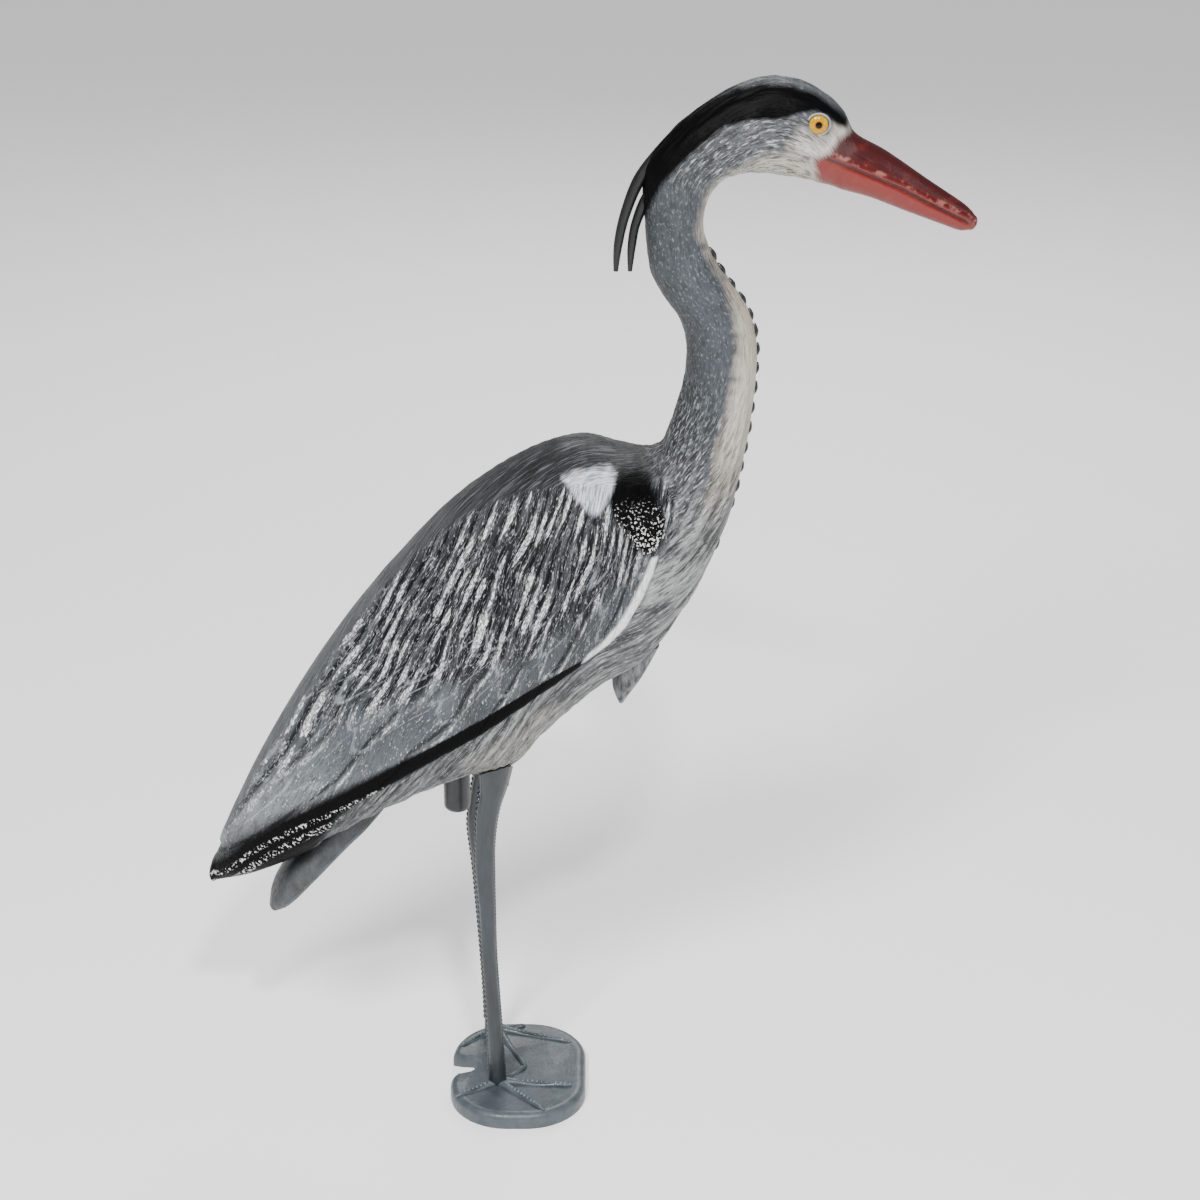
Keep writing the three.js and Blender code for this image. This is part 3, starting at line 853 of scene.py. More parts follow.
# %% [markdown]
# ## Eyes
# A glass-clear domed eye is pressed into each side of the head, inside a raised lid ring.

# %% Eyes and lids
EYE = Vector((161, 19.4, 733)) * MM
EYE_R = 6.6 * MM
eyes = []
for side, word in ((-1, "right"), (1, "left")):
    place = (EYE.x, side * EYE.y, EYE.z)
    bpy.ops.mesh.primitive_uv_sphere_add(segments=48, ring_count=24, radius=EYE_R, location=place,
                                         rotation=(math.radians(90), 0, 0))
    ball = bpy.context.object
    ball.scale = (1, 1, 0.5)
    eyes.append(finish_shape(ball, "eye_ball_" + word, 60))
    bpy.ops.mesh.primitive_torus_add(location=place, rotation=(math.radians(90), 0, 0),
                                     major_radius=7.1 * MM, minor_radius=0.75 * MM,
                                     major_segments=48, minor_segments=12)
    ring = bpy.context.object
    ring.scale = (1.06, 0.96, 1)
    eyes.append(finish_shape(ring, "eye_lid_" + word, 60))
print("eyes:", [eye.name for eye in eyes])


# %% [markdown]
# ## Legs
# Each leg is a hollow moulding with flat sides round a steel rod. Its top opens into a wide collar
# that stops just short of the body, and both edges of the shank carry a row of small beads. A peg
# under the belly goes into each collar; it belongs to the bird and comes away with it.

# %% Leg shanks
LEG_Y = 36
LEGS = {
    "right": [(-56.5, 12.6, 6.9), (-57, 27, 5.9), (-58.5, 66, 5.6), (-61, 120, 5.5), (-62, 160, 6.0),
              (-63, 192, 7.0), (-62.5, 215, 7.0), (-60.5, 238, 7.8), (-56, 264, 9.8), (-54, 284, 12.2)],
    "left": [(-63, 12.6, 6.6), (-63.5, 27, 5.7), (-65, 66, 5.5), (-68, 120, 5.5), (-70, 160, 6.2),
             (-71.5, 192, 7.6), (-69.5, 215, 7.2), (-66, 238, 7.4), (-62, 264, 9.2), (-59, 284, 11.6)],
}
# Front and rear edge: side, distance between beads, depth they are sunk, and half sizes, in mm.
BEAD_EDGES = ((1, 3.0, 0.5, (1.2, 2.0, 1.4)), (-1, 4.2, 0.6, (1.8, 2.6, 2.0)))
ROD_ENDS = {"right": [(-56.5, 3.2), (-58.5, 66), (-61, 120), (-62.8, 188)],
            "left": [(-63, 3.2), (-65, 66), (-68, 120), (-71.3, 188)]}
ROD_RADIUS = 2
PEG_X = {"right": -57, "left": -62.5}
PEG_RADIUS = 5.5
PEG_HEIGHTS = (250, 266, 282, 298)
COLLAR_TOP = 284         # height of the last station, before the rim is fitted to the belly
COLLAR_MOUTH = ((0.9, -0.2), (2.0, 1.2), (2.4, 6), (3.0, 14))   # steps in and down, in mm
LEG_COLUMNS = 40
LEG_STEPS = 150
skin_tree = BVHTree.FromObject(bird, bpy.context.evaluated_depsgraph_get())


def skin_above(x, y, z_start):
    hit = skin_tree.ray_cast(Vector((x, y, z_start)) * MM, Vector((0, 0, 1)))[0]
    return hit.z / MM if hit else 290.0


def make_leg(word, y):
    stations = np.array(LEGS[word], float)
    rows = curve(stations, np.linspace(0, len(stations) - 1, LEG_STEPS))
    angle = np.linspace(0, 2 * np.pi, LEG_COLUMNS, endpoint=False)
    c, s = np.cos(angle), np.sin(angle)
    flat = 0.86 + 0.14 * ramp(rows[:, 1], 235, 262)
    xs = rows[:, 0:1] + rows[:, 2:3] * np.sign(c) * np.abs(c) ** 0.9
    ys = y + (rows[:, 2] * flat)[:, None] * np.sign(s) * np.abs(s) ** 0.72
    zs = np.repeat(rows[:, 1:2], LEG_COLUMNS, axis=1)
    grain = noise(angle[None, :] * 7 + 0 * zs, zs / 26, 61) * 0.22
    xs, ys = xs + grain * c, ys + grain * s
    top = np.array([skin_above(x, yy, 236) for x, yy in zip(xs[-1], ys[-1])])
    top = top - 1.5 - 1.6 * np.clip(c, 0, 1) ** 2
    lift = ramp(zs, 236, COLLAR_TOP)
    zs = zs + lift * (np.minimum(top, 296)[None, :] - COLLAR_TOP)
    wall = np.stack([xs, ys, zs], axis=-1)
    inner = []
    for inset, drop_by in COLLAR_MOUTH:
        row = wall[-1].copy()
        centre = np.array([rows[-1, 0], y])
        out = row[:, :2] - centre
        out /= np.linalg.norm(out, axis=1, keepdims=True)
        row[:, :2] -= out * inset
        row[:, 2] -= drop_by
        inner.append(row)
    ends = [wall[0].mean(axis=0)[None], inner[-1].mean(axis=0)[None]]
    points = np.concatenate([wall.reshape(-1, 3)] + inner + ends)
    count = LEG_STEPS + len(inner)
    sides = ring_faces(0, count, LEG_COLUMNS)
    last = (count - 1) * LEG_COLUMNS
    for j in range(LEG_COLUMNS):
        k = (j + 1) % LEG_COLUMNS
        sides += [(count * LEG_COLUMNS, k, j), (count * LEG_COLUMNS + 1, last + j, last + k)]
    leg = mesh_object("shank_" + word, points, sides)
    leg.data.shade_smooth()
    return leg, rows


def bead_row(points, sizes, name):
    """Small round beads at points in mm, as one mesh."""
    bpy.ops.mesh.primitive_ico_sphere_add(subdivisions=2, radius=1)
    bead = bpy.context.object
    base = np.array([vertex.co[:] for vertex in bead.data.vertices])
    triangles = np.array([polygon.vertices[:] for polygon in bead.data.polygons])
    bpy.data.objects.remove(bead)
    spots, ends = [], []
    for n, (point, size) in enumerate(zip(points, sizes)):
        spots.append(base * np.array(size) + np.array(point))
        ends.append(triangles + n * len(base))
    obj = mesh_object(name, np.concatenate(spots), np.concatenate(ends).tolist())
    obj.data.shade_smooth()
    return obj


legs = {}
for word, y in (("right", -LEG_Y), ("left", LEG_Y)):
    leg, rows = make_leg(word, y)
    spots, sizes = [], []
    for side, pitch, sunk, size in BEAD_EDGES:
        heights = np.arange(24, 262, pitch)
        x_mid = np.interp(heights, rows[:, 1], rows[:, 0])
        radius = np.interp(heights, rows[:, 1], rows[:, 2])
        spots += [(x + side * (r - sunk), y, z) for x, r, z in zip(x_mid, radius, heights)]
        sizes += [size] * len(heights)
    beads = bead_row(spots, sizes, "leg_beads_" + word)
    rod = side_view_bar("rod_" + word, [(x, z, ROD_RADIUS) for x, z in ROD_ENDS[word]], y, 20, 60)
    peg = side_view_bar("peg_" + word, [(PEG_X[word], z, PEG_RADIUS) for z in PEG_HEIGHTS], y, 32, 30)
    legs[word] = leg, beads, rod, peg
print("legs:", [piece.name for pieces in legs.values() for piece in pieces])


# %% [markdown]
# ## Foot plate
# The plate is a hollow tray with a rounded shoulder and a notch in its rear edge for a ground peg.
# It starts as a cube; its corners are bevelled, its top is inset in steps that make the shoulder
# and a shallow field inside it, the notch is cut out and the underside hollowed.

# %% Plate, shoulder and notch
PLATE_LOW = Vector((-92, -80, 0)) * MM
PLATE_HIGH = Vector((9, 46.5, 7.4)) * MM
SHOULDER = ((0.7, 2.0), (1.2, 1.4), (1.8, 0.9), (2.2, 0.3), (1.5, -0.5))   # steps in and up, in mm
CORNER = 44 * MM         # radius of the plate's corners
NOTCH = [(-100, -34.5), (-93, -32), (-86, -24.5), (-77, -21), (-73, -16), (-73, -4), (-77, 0),
         (-86, 1), (-93, 3), (-100, 5.5)]

bpy.ops.mesh.primitive_cube_add(size=1, location=(PLATE_LOW + PLATE_HIGH) / 2)
plate = bpy.context.object
plate.scale = PLATE_HIGH - PLATE_LOW
bpy.ops.object.transform_apply(location=True, rotation=True, scale=True)
bpy.ops.object.mode_set(mode="EDIT")
bpy.ops.mesh.select_mode(type="EDGE")
bpy.ops.mesh.select_all(action="DESELECT")
mesh = bmesh.from_edit_mesh(plate.data)
for edge in mesh.edges:
    edge.select_set(abs(edge.verts[0].co.z - edge.verts[1].co.z) > 1 * MM)
bmesh.update_edit_mesh(plate.data)
bpy.ops.mesh.bevel(offset=CORNER, offset_type="OFFSET", segments=18, profile=0.5, affect="EDGES")
bpy.ops.mesh.select_mode(type="FACE")


def select_flat(obj, height, up):
    """Selects the faces at one height that look up or down."""
    grid = bmesh.from_edit_mesh(obj.data)
    for face in grid.faces:
        level = abs(face.calc_center_median().z - height) < 0.2 * MM
        face.select_set(level and face.normal.z * up > 0.9)
    grid.select_flush(True)
    bmesh.update_edit_mesh(obj.data)


select_flat(plate, PLATE_HIGH.z, 1)
for wide, rise in SHOULDER:
    bpy.ops.mesh.inset(thickness=wide * MM, depth=rise * MM)
bpy.ops.object.mode_set(mode="OBJECT")

sides = len(NOTCH)
cutter_faces = [tuple(range(sides))[::-1], tuple(range(sides, 2 * sides))]
cutter_faces += [(j, (j + 1) % sides, (j + 1) % sides + sides, j + sides) for j in range(sides)]
cutter = mesh_object("notch_cutter", [(x, y, z) for z in (-6, 20) for x, y in NOTCH], cutter_faces)
cut = plate.modifiers.new("notch", "BOOLEAN")
cut.object = cutter
cut.solver = "EXACT"
deselect()
plate.select_set(True)
bpy.context.view_layer.objects.active = plate
bpy.ops.object.modifier_apply(modifier="notch")
bpy.data.objects.remove(cutter)

bpy.ops.object.mode_set(mode="EDIT")
bpy.ops.mesh.select_all(action="SELECT")
bpy.ops.mesh.dissolve_limited(angle_limit=math.radians(1))
bpy.ops.mesh.select_mode(type="FACE")
select_flat(plate, 0, -1)
bpy.ops.mesh.inset(thickness=3 * MM, depth=0)
bpy.ops.mesh.extrude_region_move(TRANSFORM_OT_translate={"value": (0, 0, 8.0 * MM)})
bpy.ops.object.mode_set(mode="OBJECT")
soften = plate.modifiers.new("soft edges", "BEVEL")
soften.width = 0.5 * MM
soften.segments = 2
soften.limit_method = "ANGLE"
soften.angle_limit = math.radians(40)
bpy.ops.object.modifier_apply(modifier="soft edges")
finish_shape(plate, "foot_tray", 40)
print("plate", [round(v * 1000, 1) for v in plate.dimensions], "mm,", len(plate.data.polygons), "faces")


# %% Toes
# Start and end of each toe on the plate, in mm, and whether beads run along it.
TOES = [
    (-56, -36, -21, -73, True), (-56, -36, -1, -41, True),
    (-56, -36, -87, -55, True), (-56, -36, -36, -16, False),
    (-60, 36, -3, 18, True), (-61, 36, -87, 12, True),
    (-59, 36, -38, 40, True), (-60, 36, -36, -16, False),
]
TOE_STEPS = 24
TOE_TAPER = ([0, 0.2, 0.92, 1], [5.0, 3.2, 2.0, 1.0])     # half width along the toe
toe_bars, bead_spots, bead_sizes = [], [], []
for n, (x0, y0, x1, y1, beaded) in enumerate(TOES):
    share = np.linspace(0, 1, TOE_STEPS)
    centres = np.stack([x0 + (x1 - x0) * share, y0 + (y1 - y0) * share,
                        11.4 + 0.8 * np.sin(share * 9)], axis=1)
    heading = unit(np.array([x1 - x0, y1 - y0, 0.0]))
    beside = np.array([-heading[1], heading[0], 0])
    size = np.interp(share, *TOE_TAPER)[:, None]
    toe_bars.append(bar(f"toe_{n}", centres, beside * size, np.array([0, 0, 0.95]) * size, 20))
    if beaded:
        length = math.hypot(x1 - x0, y1 - y0)
        for travel in np.arange(8, length - 1, 3.5):
            at = travel / length
            spot_size = float(np.interp(at, [0, 1], [1.75, 1.3]))
            top = 11.6 + float(np.interp(at, *TOE_TAPER)) * 0.8
            bead_spots.append((x0 + (x1 - x0) * at, y0 + (y1 - y0) * at, top))
            bead_sizes.append((spot_size, spot_size, spot_size * 0.8))
toes = joined(toe_bars, "toes")
toe_beads = bead_row(bead_spots, bead_sizes, "toe_beads")
print(len(TOES), "toes,", len(bead_spots), "beads")


# %% [markdown]
# ## Belly plug
# A smooth push-in stopper closes the filling hole under the belly.

# %% Plug
plug_low, plug_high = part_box("belly_plug")
plug_low.z += 2 * MM
bpy.ops.mesh.primitive_cylinder_add(vertices=64, radius=9.7 * MM,
                                    depth=plug_high.z - plug_low.z - 0.4 * MM,
                                    location=(plug_low + plug_high) / 2)
plug = bpy.context.object
soften = plug.modifiers.new("round end", "BEVEL")
soften.width = 4.5 * MM
soften.segments = 8
soften.limit_method = "ANGLE"
bpy.ops.object.modifier_apply(modifier="round end")
finish_shape(plug, "plug_stopper", 40)
print("plug", [round(v * 1000) for v in plug.dimensions], "mm")


# %% [markdown]
# ## Finishes
# Every finish is procedural: colours and wear come from noise in real millimetres, read from
# object coordinates. One small function adds a node and links its inputs.

# %% Node helper
def new_material(name):
    made = bpy.data.materials.new(name)
    made.use_nodes = True
    return made, made.node_tree.nodes["Principled BSDF"]


def add(material, kind, inputs=None, **settings):
    """A node of this kind; an input is a value, or a socket that is linked to it."""
    node = material.node_tree.nodes.new(kind)
    for name, value in settings.items():
        setattr(node, name, value)
    for name, value in (inputs or {}).items():
        connect(material, node.inputs[name], value)
    return node


def connect(material, socket, value):
    if isinstance(value, bpy.types.NodeSocket):
        material.node_tree.links.new(value, socket)
    else:
        socket.default_value = value


def grain_noise(material, size_mm, detail=3.0, stretch=(1, 1, 1)):
    """Noise with features of size_mm, stretched along an axis if wanted."""
    place = add(material, "ShaderNodeTexCoord").outputs["Object"]
    scale = tuple(1 / s for s in stretch)
    scaled = add(material, "ShaderNodeMapping", {"Vector": place, "Scale": scale})
    made = add(material, "ShaderNodeTexNoise", {
        "Vector": scaled.outputs["Vector"], "Scale": 1000 / size_mm, "Detail": detail, "Roughness": 0.6})
    return made.outputs["Fac"]


def spread(material, value, low, high, to_low=0.0, to_high=1.0):
    made = add(material, "ShaderNodeMapRange", {"Value": value, "From Min": low, "From Max": high,
                                                "To Min": to_low, "To Max": to_high})
    return made.outputs["Result"]


def mix(material, factor, one, other):
    made = add(material, "ShaderNodeMix", data_type="RGBA")
    connect(material, made.inputs[0], factor)
    connect(material, made.inputs[6], one)
    connect(material, made.inputs[7], other)
    return made.outputs[2]


def bump(material, height, depth_mm, strength):
    inputs = {"Height": height, "Distance": depth_mm * MM, "Strength": strength}
    return add(material, "ShaderNodeBump", inputs).outputs["Normal"]


def rgba(code):
    return linear(code) + (1.0,)


def calc(material, operation, one, two=0.0):
    return add(material, "ShaderNodeMath", {0: one, 1: two}, operation=operation).outputs["Value"]


def smooth(material, value, low, high):
    """0 up to low, 1 from high on, with a soft rise; high may be the smaller one."""
    limits = {"Value": value, "From Min": min(low, high), "From Max": max(low, high)}
    made = add(material, "ShaderNodeMapRange", limits, interpolation_type="SMOOTHSTEP")
    rise = made.outputs["Result"]
    return rise if high > low else calc(material, "SUBTRACT", 1.0, rise)


def split(material, name):
    """The three parts of a vector stored at each point of the skin."""
    stored = add(material, "ShaderNodeAttribute", attribute_name=name).outputs["Vector"]
    parts = add(material, "ShaderNodeSeparateXYZ", {"Vector": stored})
    return parts.outputs["X"], parts.outputs["Y"], parts.outputs["Z"]


def blend(material, factor, one, other):
    """A plain number between two others."""
    made = add(material, "ShaderNodeMix", data_type="FLOAT")
    for number, value in ((0, factor), (2, one), (3, other)):
        connect(material, made.inputs[number], value)
    return made.outputs[0]


def grain(material, uv, across_mm, along_mm, detail=2.0, seed=0.0):
    """Noise drawn out along a grain; uv holds the distances across and along it."""
    place = add(material, "ShaderNodeCombineXYZ", {
        "X": calc(material, "DIVIDE", uv[0], across_mm),
        "Y": calc(material, "DIVIDE", uv[1], along_mm), "Z": seed})
    made = add(material, "ShaderNodeTexNoise", {
        "Vector": place.outputs["Vector"], "Scale": 1.0, "Detail": detail, "Roughness": 0.6})
    return made.outputs["Fac"]


print("node helpers ready")


# %% [markdown]
# The body's finish works in the grain of the feathers. Strand crests get a painted highlight and
# grooves a painted shade, and the masked paint edges are cut from distances, so they stay sharp.

# %% Sprayed body with painted highlights and shade: zones
body, shader = new_material("painted_body")


def stored(name):
    return add(body, "ShaderNodeAttribute", attribute_name=name).outputs["Fac"]


def times(*values):
    product = values[0]
    for value in values[1:]:
        product = calc(body, "MULTIPLY", product, value)
    return product


def most(*values):
    largest = values[0]
    for value in values[1:]:
        largest = calc(body, "MAXIMUM", largest, value)
    return largest


def plus(one, other):
    return calc(body, "ADD", one, other)


def minus(one, other):
    return calc(body, "SUBTRACT", one, other)


def other_than(value):
    return minus(1.0, value)


def off(value, middle):
    """Distance of a value from the middle of a line."""
    return calc(body, "ABSOLUTE", minus(value, middle))


def step(value, low, high):
    return smooth(body, value, low, high)


wing_u, wing_v, vane_count = split(body, "wing_grain")
body_u, body_v, body_share = split(body, "body_grain")
stripe_d, band_d, bill_d = split(body, "edges_a")
wrist_d, triangle_d, patch_d = split(body, "edges_b")
feather_d, gape_d, wing_d = split(body, "edges_c")
ridge_in, strokes_in, row_d = stored("ridge"), stored("strokes"), stored("stripe_row")


def wing_noise(*sizes):
    return grain(body, (wing_u, wing_v), *sizes)


def body_noise(*sizes):
    return grain(body, (body_u, body_v), *sizes)


def skin_noise(*sizes):
    """The wing's grain on the folded wing and the body's everywhere else."""
    return blend(body, body_share, wing_noise(*sizes), body_noise(*sizes))


object_place = add(body, "ShaderNodeTexCoord").outputs["Object"]
place = add(body, "ShaderNodeSeparateXYZ", {"Vector": object_place})
at_x, at_z = place.outputs["X"], place.outputs["Z"]
on_wing = other_than(step(body_share, 0.3, 1.0))
mantle_side = step(feather_d, -9, 5)
strand_zone = times(on_wing, mantle_side)
feather_zone = times(on_wing, other_than(mantle_side))
plain_zone = step(wing_d, 0.8, 0)
on_back = other_than(plain_zone)
print("zones of the body ready")


# %% [markdown]
# Three sizes of hair work lie on the wing: bold strands about six millimetres apart and a few
# centimetres long, thin threads between them, and the short sparks of light on both.

# %% Strands, threads and sparks
fine = skin_noise(1.3, 11, 3, 0.0)
hair = skin_noise(2.6, 30, 2, 4.0)
sharp = wing_noise(0.7, 3.2, 3, 5.0)
spark = wing_noise(0.75, 2.4, 2, 31.0)
fray = times(minus(skin_noise(1.3, 8, 2, 7.0), 0.5), 3.2)
strand = calc(body, "DIVIDE", wing_u, STRAND)
cell = calc(body, "FLOOR", plus(strand, 0.5))
from_crest = times(off(strand, cell), 2.0)
life = grain(body, (times(cell, 3.7), wing_v), 1.0, 34, 1, 2.0)
reach = calc(body, "MINIMUM", plus(times(minus(life, 0.48), 4.0), 0.18), 0.55)
reach = minus(reach, times(ridge_in, 0.8))
crest = step(minus(minus(reach, from_crest), times(minus(fine, 0.5), 1.7)), 0.0, 0.18)
thread = times(step(off(wing_noise(3.1, 30, 2, 21.0), 0.5), 0.036, 0.008), step(hair, 0.40, 0.55))
thread = most(thread, times(step(off(wing_noise(1.9, 16, 2, 23.0), 0.5), 0.03, 0.006), 0.7))
vane = calc(body, "FRACT", vane_count)
groove = step(times(minus(0.5, off(vane, 0.5)), FEATHER), 1.1, 0.3)
groove = times(groove, step(fine, 0.36, 0.5))
print("strands ready")


# %% Scalloped ends of the covert feathers
def scallops(row_mm, deep_mm, shift):
    """Thin pale U shapes: the ends of a row of covert feathers."""
    count = calc(body, "FRACT", plus(vane_count, shift))
    hang = times(calc(body, "SINE", times(count, math.pi)), deep_mm)
    return step(off(plus(feather_d, hang), row_mm), 1.5, 0.4)


covert_line = most(scallops(22.0, 13.0, 0.25), scallops(6.0, 15.0, 0.0), scallops(-9.0, 15.0, 0.5))
covert_line = times(covert_line, on_wing, step(fine, 0.36, 0.56))
print("covert feathers ready")


# %% Sprayed body with painted highlights and shade: colour
def paint_over(under, amount, code):
    return mix(body, amount, under, rgba(code))


colour = add(body, "ShaderNodeAttribute", attribute_name="paint").outputs["Color"]
colour = paint_over(colour, times(step(fine, 0.56, 0.3), 0.45), "#0C0D0F")
flecks = times(step(body_noise(1.5, 3.2, 3, 9.0), 0.54, 0.72), plain_zone)
colour = paint_over(colour, times(flecks, 0.26), "#B9BDC0")
stroke = times(strokes_in, step(body_noise(1.5, 10, 2, 14.0), 0.51, 0.63))
furrow = times(strokes_in, step(body_noise(1.7, 12, 2, 15.0), 0.48, 0.36))
colour = paint_over(colour, times(stroke, 0.5), "#C9CBCC")
colour = paint_over(colour, times(furrow, 0.62), "#121417")
back_light = times(ridge_in, on_back, step(body_noise(1.5, 26, 2, 41.0), 0.51, 0.62))
back_dark = times(ridge_in, on_back, step(body_noise(1.6, 22, 2, 43.0), 0.49, 0.38))
colour = paint_over(colour, times(back_light, 0.35), "#8A8E91")
colour = paint_over(colour, times(back_dark, 0.6), "#08090A")
# Near black between the strands, where the relief sinks: painted shade.
colour = paint_over(colour, times(step(from_crest, 0.45, 0.9), strand_zone, 0.85), "#040506")
thread = times(thread, on_wing, other_than(times(mantle_side, ridge_in, 0.5)))
# Pale paint on the thin raised threads: a painted highlight.
colour = paint_over(colour, times(thread, other_than(times(feather_zone, 0.45)), 0.42), "#A2A6A9")
# Lighter grey on the strand crests and near white on parts of them: painted highlights and glints.
colour = paint_over(colour, times(crest, strand_zone, 0.55), "#7C8083")
crest_glint = times(crest, strand_zone, step(sharp, 0.46, 0.58))
colour = paint_over(colour, times(crest_glint, 0.95), "#EDEEEF")
# Dark paint in the grooves between the flight feathers: painted shade.
colour = paint_over(colour, times(groove, feather_zone, 0.8), "#111316")
# A pale line along each flight feather's ridge, beside its groove: a painted highlight.
quill_highlight = times(step(off(vane, 0.84), 0.07, 0.02), feather_zone,
              step(hair, 0.46, 0.58), step(sharp, 0.40, 0.52))
colour = paint_over(colour, times(quill_highlight, 0.65), "#D4D7D8")
colour = paint_over(colour, times(covert_line, 0.5), "#A3AAB0")
glossy = most(times(crest, strand_zone), times(thread, 0.6), times(quill_highlight, 0.7))
# White sparks on the crests, threads and quills: painted glints.
spark_glints = times(step(spark, 0.56, 0.64), glossy)
colour = paint_over(colour, times(spark_glints, 0.95), "#FFFFFF")
print("feather colours ready")


# %% Masked stripes and patches
soft_mm = spread(body, at_x, -0.09, -0.24, 0.8, 8.0)
stripe = step(calc(body, "DIVIDE", plus(stripe_d, times(fray, 0.6)), soft_mm), -0.9, 1.0)
band = step(plus(band_d, times(fray, 0.9)), -2.0, 2.0)
patch = step(plus(patch_d, times(fray, 1.6)), -5.0, 3.0)
black = most(stripe, band, patch)
colour = paint_over(colour, black, "#030304")
triangle = step(plus(triangle_d, times(fray, 1.7)), -2.6, 2.6)
colour = mix(body, triangle, colour, mix(body, step(fine, 0.36, 0.6), rgba("#8290A2"), rgba("#E2E5EA")))
wrist = step(plus(wrist_d, times(fray, 0.35)), -1.4, 1.5)
colour = paint_over(colour, wrist, "#F1F2F2")
# Rows of beads along the rear of the black stripe and at the foot of the black patch: raised in the bump
# and painted near white, a painted highlight.
rows = most(step(off(row_d, 13.0), 2.2, 0.9), step(off(row_d, 20.5), 3.0, 1.1))
rows = times(rows, step(at_x, -0.115, -0.15))
beads = times(step(grain_noise(body, 2.0, 1), 0.54, 0.60), rows, black)
low_patch = times(step(plus(at_z, times(fray, 0.004)), 0.492, 0.452), step(patch_d, -4.0, 4.0), patch)
low_bead_glints = step(plus(grain_noise(body, 1.7, 1), times(low_patch, 0.13)), 0.635, 0.685)
beads = most(beads, times(low_bead_glints, step(low_patch, 0.05, 0.3)))
colour = paint_over(colour, times(beads, 0.85), "#E4E4E2")
print("stripes ready")


# %% Bill
bill = step(plus(bill_d, times(fray, 2.0)), -4.0, 2.4)
bill_red = mix(body, step(gape_d, -3.0, 8.0), rgba("#6E160C"), rgba("#380C0D"))
bill_red = mix(body, times(step(grain_noise(body, 9, 4), 0.5, 0.7), 0.2), bill_red, rgba("#8E362C"))
# Pinkish specks just above the gape line: a painted highlight along the bill's ridge.
bill_glint = times(step(off(gape_d, 4.2), 2.4, 0.4), step(grain_noise(body, 4.5, 2), 0.46, 0.66))
bill_red = mix(body, times(bill_glint, 0.3), bill_red, rgba("#D08C82"))
bill_red = mix(body, times(step(off(gape_d, 0.0), 1.4, 0.4), 0.8), bill_red, rgba("#22090A"))
connect(body, shader.inputs["Base Color"], mix(body, bill, colour, bill_red))
print("colour of the body ready")


# %% Sprayed body with painted highlights and shade: gloss and skin
gloss = spread(body, fine, 0.3, 0.7, 0.46, 0.34)
for zone, value in ((strand_zone, blend(body, crest, 0.5, 0.15)), (feather_zone, 0.3), (ridge_in, 0.45),
                    (black, 0.5), (bill, 0.25)):
    gloss = blend(body, zone, gloss, value)
connect(body, shader.inputs["Roughness"], gloss)
shine = 0.35
for zone, value in ((strand_zone, blend(body, crest, 0.12, 1.0)), (ridge_in, 0.2),
                    (black, 0.06), (bill, 0.5)):
    shine = blend(body, zone, shine, value)
connect(body, shader.inputs["Specular IOR Level"], shine)
calm = times(other_than(times(bill, 0.75)), other_than(times(black, 0.6)))
height = plus(times(grain_noise(body, 2.2, 3), plain_zone, 0.8),
              plus(times(fine, 0.9), times(hair, 1.2)))
height = minus(height, times(groove, feather_zone, 1.5))
height = plus(height, plus(times(covert_line, 0.6), times(thread, 0.7)))
height = times(height, calm)
height = plus(height, plus(times(beads, 1.6), times(sharp, on_wing, 0.6)))
height = plus(height, times(minus(plus(stroke, back_light), plus(furrow, back_dark)), 0.7))
connect(body, shader.inputs["Normal"], bump(body, height, 0.9, 1.0))
print("body finish ready")


# %% [markdown]
# The legs, the foot plate, the plumes and the plug are moulded polyethylene: two close colours,
# a dull gloss and a fine grit from the mould. The ballast is rough cast iron, the rods are drawn
# steel, with fine lines along them, and the screws are zinc-plated.

# %% Plastics and metals
def moulded(name, dark, light, roughness, size_mm=2.5, depth_mm=0.2, stretch=(1, 1, 1), coat=0.0):
    """Moulded plastic: two close colours, uneven gloss and a fine skin."""
    made, shader = new_material(name)
    cloud = grain_noise(made, size_mm * 6, 4, stretch)
    grit = grain_noise(made, size_mm, 4, stretch)
    colour = mix(made, spread(made, cloud, 0.35, 0.65), rgba(dark), rgba(light))
    colour = mix(made, spread(made, grit, 0.45, 0.75, 0, 0.35), colour, rgba(dark))
    connect(made, shader.inputs["Base Color"], colour)
    gloss = spread(made, grit, 0.3, 0.7, roughness - 0.08, roughness + 0.1)
    connect(made, shader.inputs["Roughness"], gloss)
    connect(made, shader.inputs["Normal"], bump(made, grit, depth_mm, 0.7))
    connect(made, shader.inputs["Coat Weight"], coat)
    return made


def metal(name, dark, light, roughness, size_mm, stretch=(1, 1, 1)):
    made = moulded(name, dark, light, roughness, size_mm, 0.08, stretch)
    made.node_tree.nodes["Principled BSDF"].inputs["Metallic"].default_value = 1
    return made


crest_black = moulded("crest_plastic", "#060607", "#0D0E10", 0.42, 2.0, 0.3, (1, 1, 4))
drop_black = moulded("drop_black", "#0C0D0F", "#17181B", 0.3, 2.0, 0.2)
lid_grey = moulded("lid_plastic", "#6E7478", "#9EA2A4", 0.4, 1.2, 0.15)
tail_grey = moulded("tail_paint", "#222527", "#42464A", 0.5, 2.0, 0.4, (1, 1, 1.6))
tuft_grey = moulded("tuft_paint", "#08090A", "#808386", 0.45, 0.55, 0.5, (1, 1, 8))
leg_slate = moulded("leg_plastic", "#161B1F", "#242C32", 0.36, 1.6, 0.25, (1, 1, 6), 0.15)
leg_bead = moulded("leg_bead", "#1A2024", "#2C353B", 0.32, 1.6, 0.15)
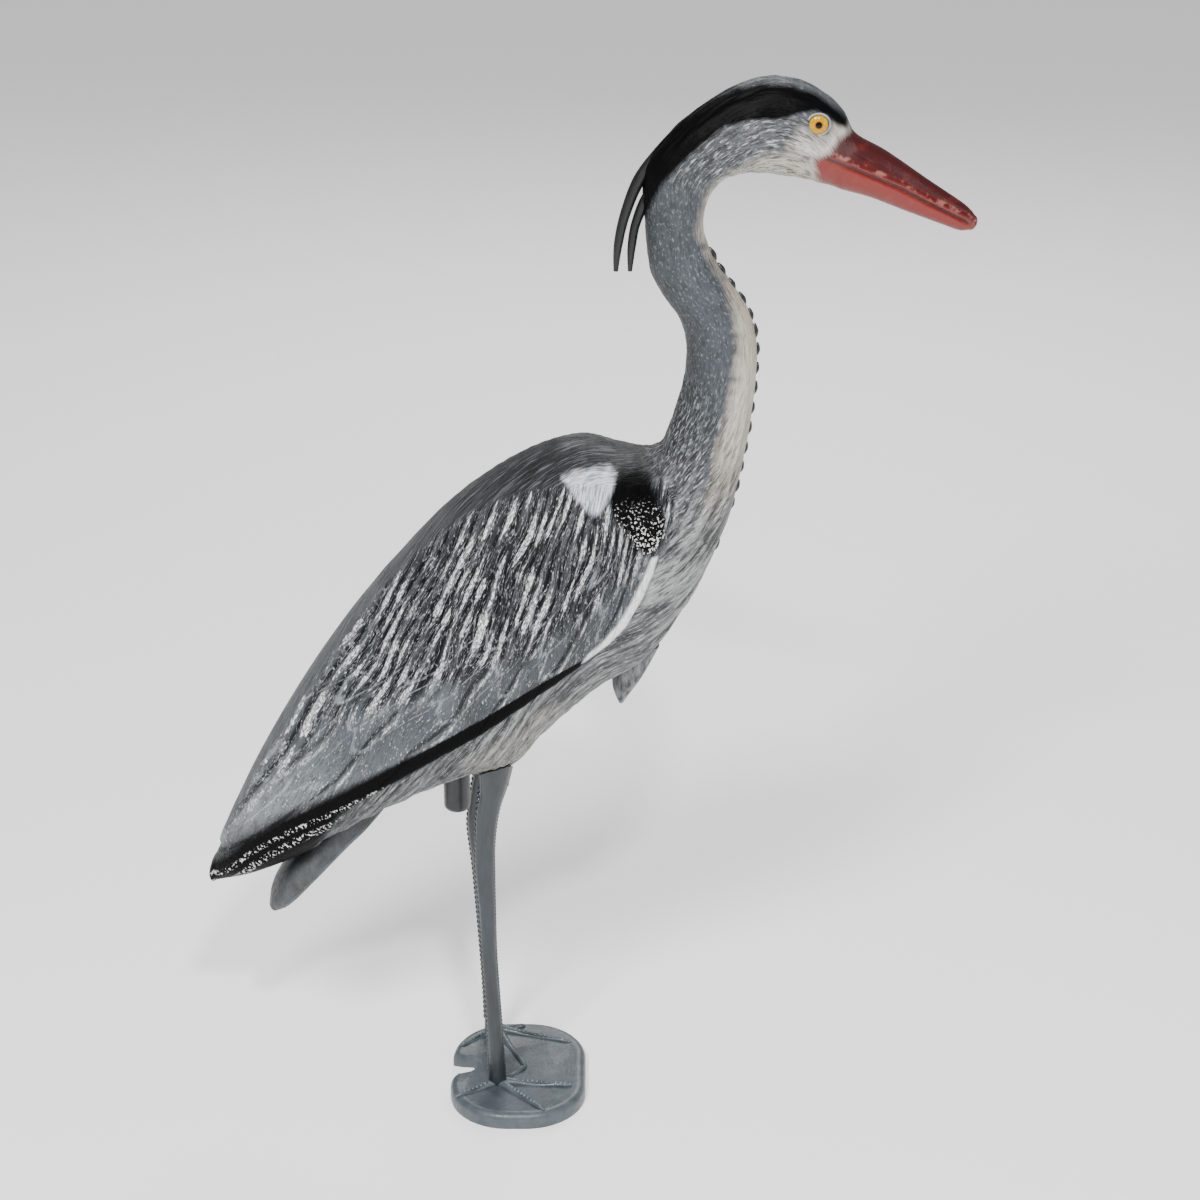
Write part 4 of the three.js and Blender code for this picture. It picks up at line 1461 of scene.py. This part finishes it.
# The toe beads are the foot plate's plastic made lighter: a painted highlight.
toe_bead_highlight = moulded("toe_bead_highlight", "#464F55", "#646E75", 0.26, 1.6, 0.15)
foot_slate = moulded("foot_plastic", "#394045", "#4C545A", 0.42, 2.2, 0.45, coat=0.1)
plug_slate = moulded("plug_plastic", "#1B1E20", "#292C2F", 0.38, 3.0, 0.1)
iron = metal("ballast_iron", "#3A2F29", "#5A5450", 0.6, 2.0)
steel = metal("rod_steel", "#8D9194", "#B0B3B5", 0.3, 1.5, (1, 1, 20))
zinc = metal("screw_steel", "#9A9C9A", "#C0C1BC", 0.28, 1.0)
iron.node_tree.nodes["Principled BSDF"].inputs["Metallic"].default_value = 0.6
print("plastics and metals ready")


# %% [markdown]
# The eye is a glossy acrylic dome: a yellow iris with fine rays round a black pupil. Its rings are
# distances from the middle of the eye, in mm.

# %% Eye: yellow iris round a black pupil
def eye_material(name, side):
    made, shader = new_material(name)
    place = add(made, "ShaderNodeTexCoord").outputs["Object"]
    centre = (EYE.x, side * EYE.y, EYE.z)
    flat = add(made, "ShaderNodeVectorMath", {0: place, 1: centre}, operation="SUBTRACT")
    flat = add(made, "ShaderNodeVectorMath", {0: flat.outputs["Vector"], 1: (1000, 0, 1000)},
               operation="MULTIPLY")
    radius = add(made, "ShaderNodeVectorMath", {0: flat.outputs["Vector"]},
                 operation="LENGTH").outputs["Value"]
    rays = grain_noise(made, 0.8, 3)
    iris = mix(made, spread(made, rays, 0.35, 0.65), rgba("#9A6E00"), rgba("#C39600"))
    iris = mix(made, spread(made, radius, 5.9, 6.4), iris, rgba("#1A1208"))
    iris = mix(made, spread(made, radius, 3.2, 2.4), iris, rgba("#8A5200"))
    colour = mix(made, spread(made, radius, 2.0, 2.3), rgba("#050505"), iris)
    connect(made, shader.inputs["Base Color"], colour)
    connect(made, shader.inputs["Roughness"], 0.16)
    connect(made, shader.inputs["Specular IOR Level"], 0.3)
    return made


def paint_piece(obj, material, body, slot, *nodes):
    obj.data.materials.clear()
    obj.data.materials.append(material)
    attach(obj, body)
    if nodes:
        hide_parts(*nodes)


paint_piece(bird, body, "bird", "painted_body", "body_shell")
paint_piece(tail, tail_grey, "bird", "painted_body")
paint_piece(tuft, tuft_grey, "bird", "painted_body")
paint_piece(plume_outer, crest_black, "bird", "crest_plastic", "crest_plume_outer")
paint_piece(plume_inner, crest_black, "bird", "crest_plastic", "crest_plume_inner")
paint_piece(throat_drops, drop_black, "bird", "painted_body")
for side, (ball, ring), word in ((-1, eyes[:2], "right"), (1, eyes[2:], "left")):
    paint_piece(ball, eye_material("eye_" + word, side), "bird", "eye_plastic", "eye_" + word)
    paint_piece(ring, lid_grey, "bird", "painted_body")
for word, (shank, leg_beads, rod, peg) in legs.items():
    paint_piece(shank, leg_slate, "stand", "leg_plastic", "leg_" + word)
    paint_piece(leg_beads, leg_bead, "stand", "leg_plastic")
    paint_piece(rod, steel, "stand", "rod_steel", "leg_rod_" + word)
    paint_piece(peg, leg_slate, "bird", "leg_plastic", "leg_peg_" + word)
paint_piece(plate, foot_slate, "stand", "foot_plastic", "foot_plate")
paint_piece(toes, foot_slate, "stand", "foot_plastic")
paint_piece(toe_beads, toe_bead_highlight, "stand", "foot_plastic")
paint_piece(plug, plug_slate, "plug", "plug_plastic", "belly_plug")
KEPT = {"ballast_slab": iron, "foot_cover": foot_slate}
KEPT.update({f"cover_screw_{n}": zinc for n in range(1, 5)})
for name, material in KEPT.items():
    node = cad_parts[name]
    node.data.materials.clear()
    node.data.materials.append(material)
print("finishes given to", len(KEPT), "kept pieces")


# %% [markdown]
# ## Sizes
# The finished model is measured, and its box is printed beside the CAD box.

# %% Print sizes
new_low, new_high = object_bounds()
sizes = {"cad": [list(CAD_BOX[0]), list(CAD_BOX[1])], "model": [list(new_low), list(new_high)]}
print(sizes)
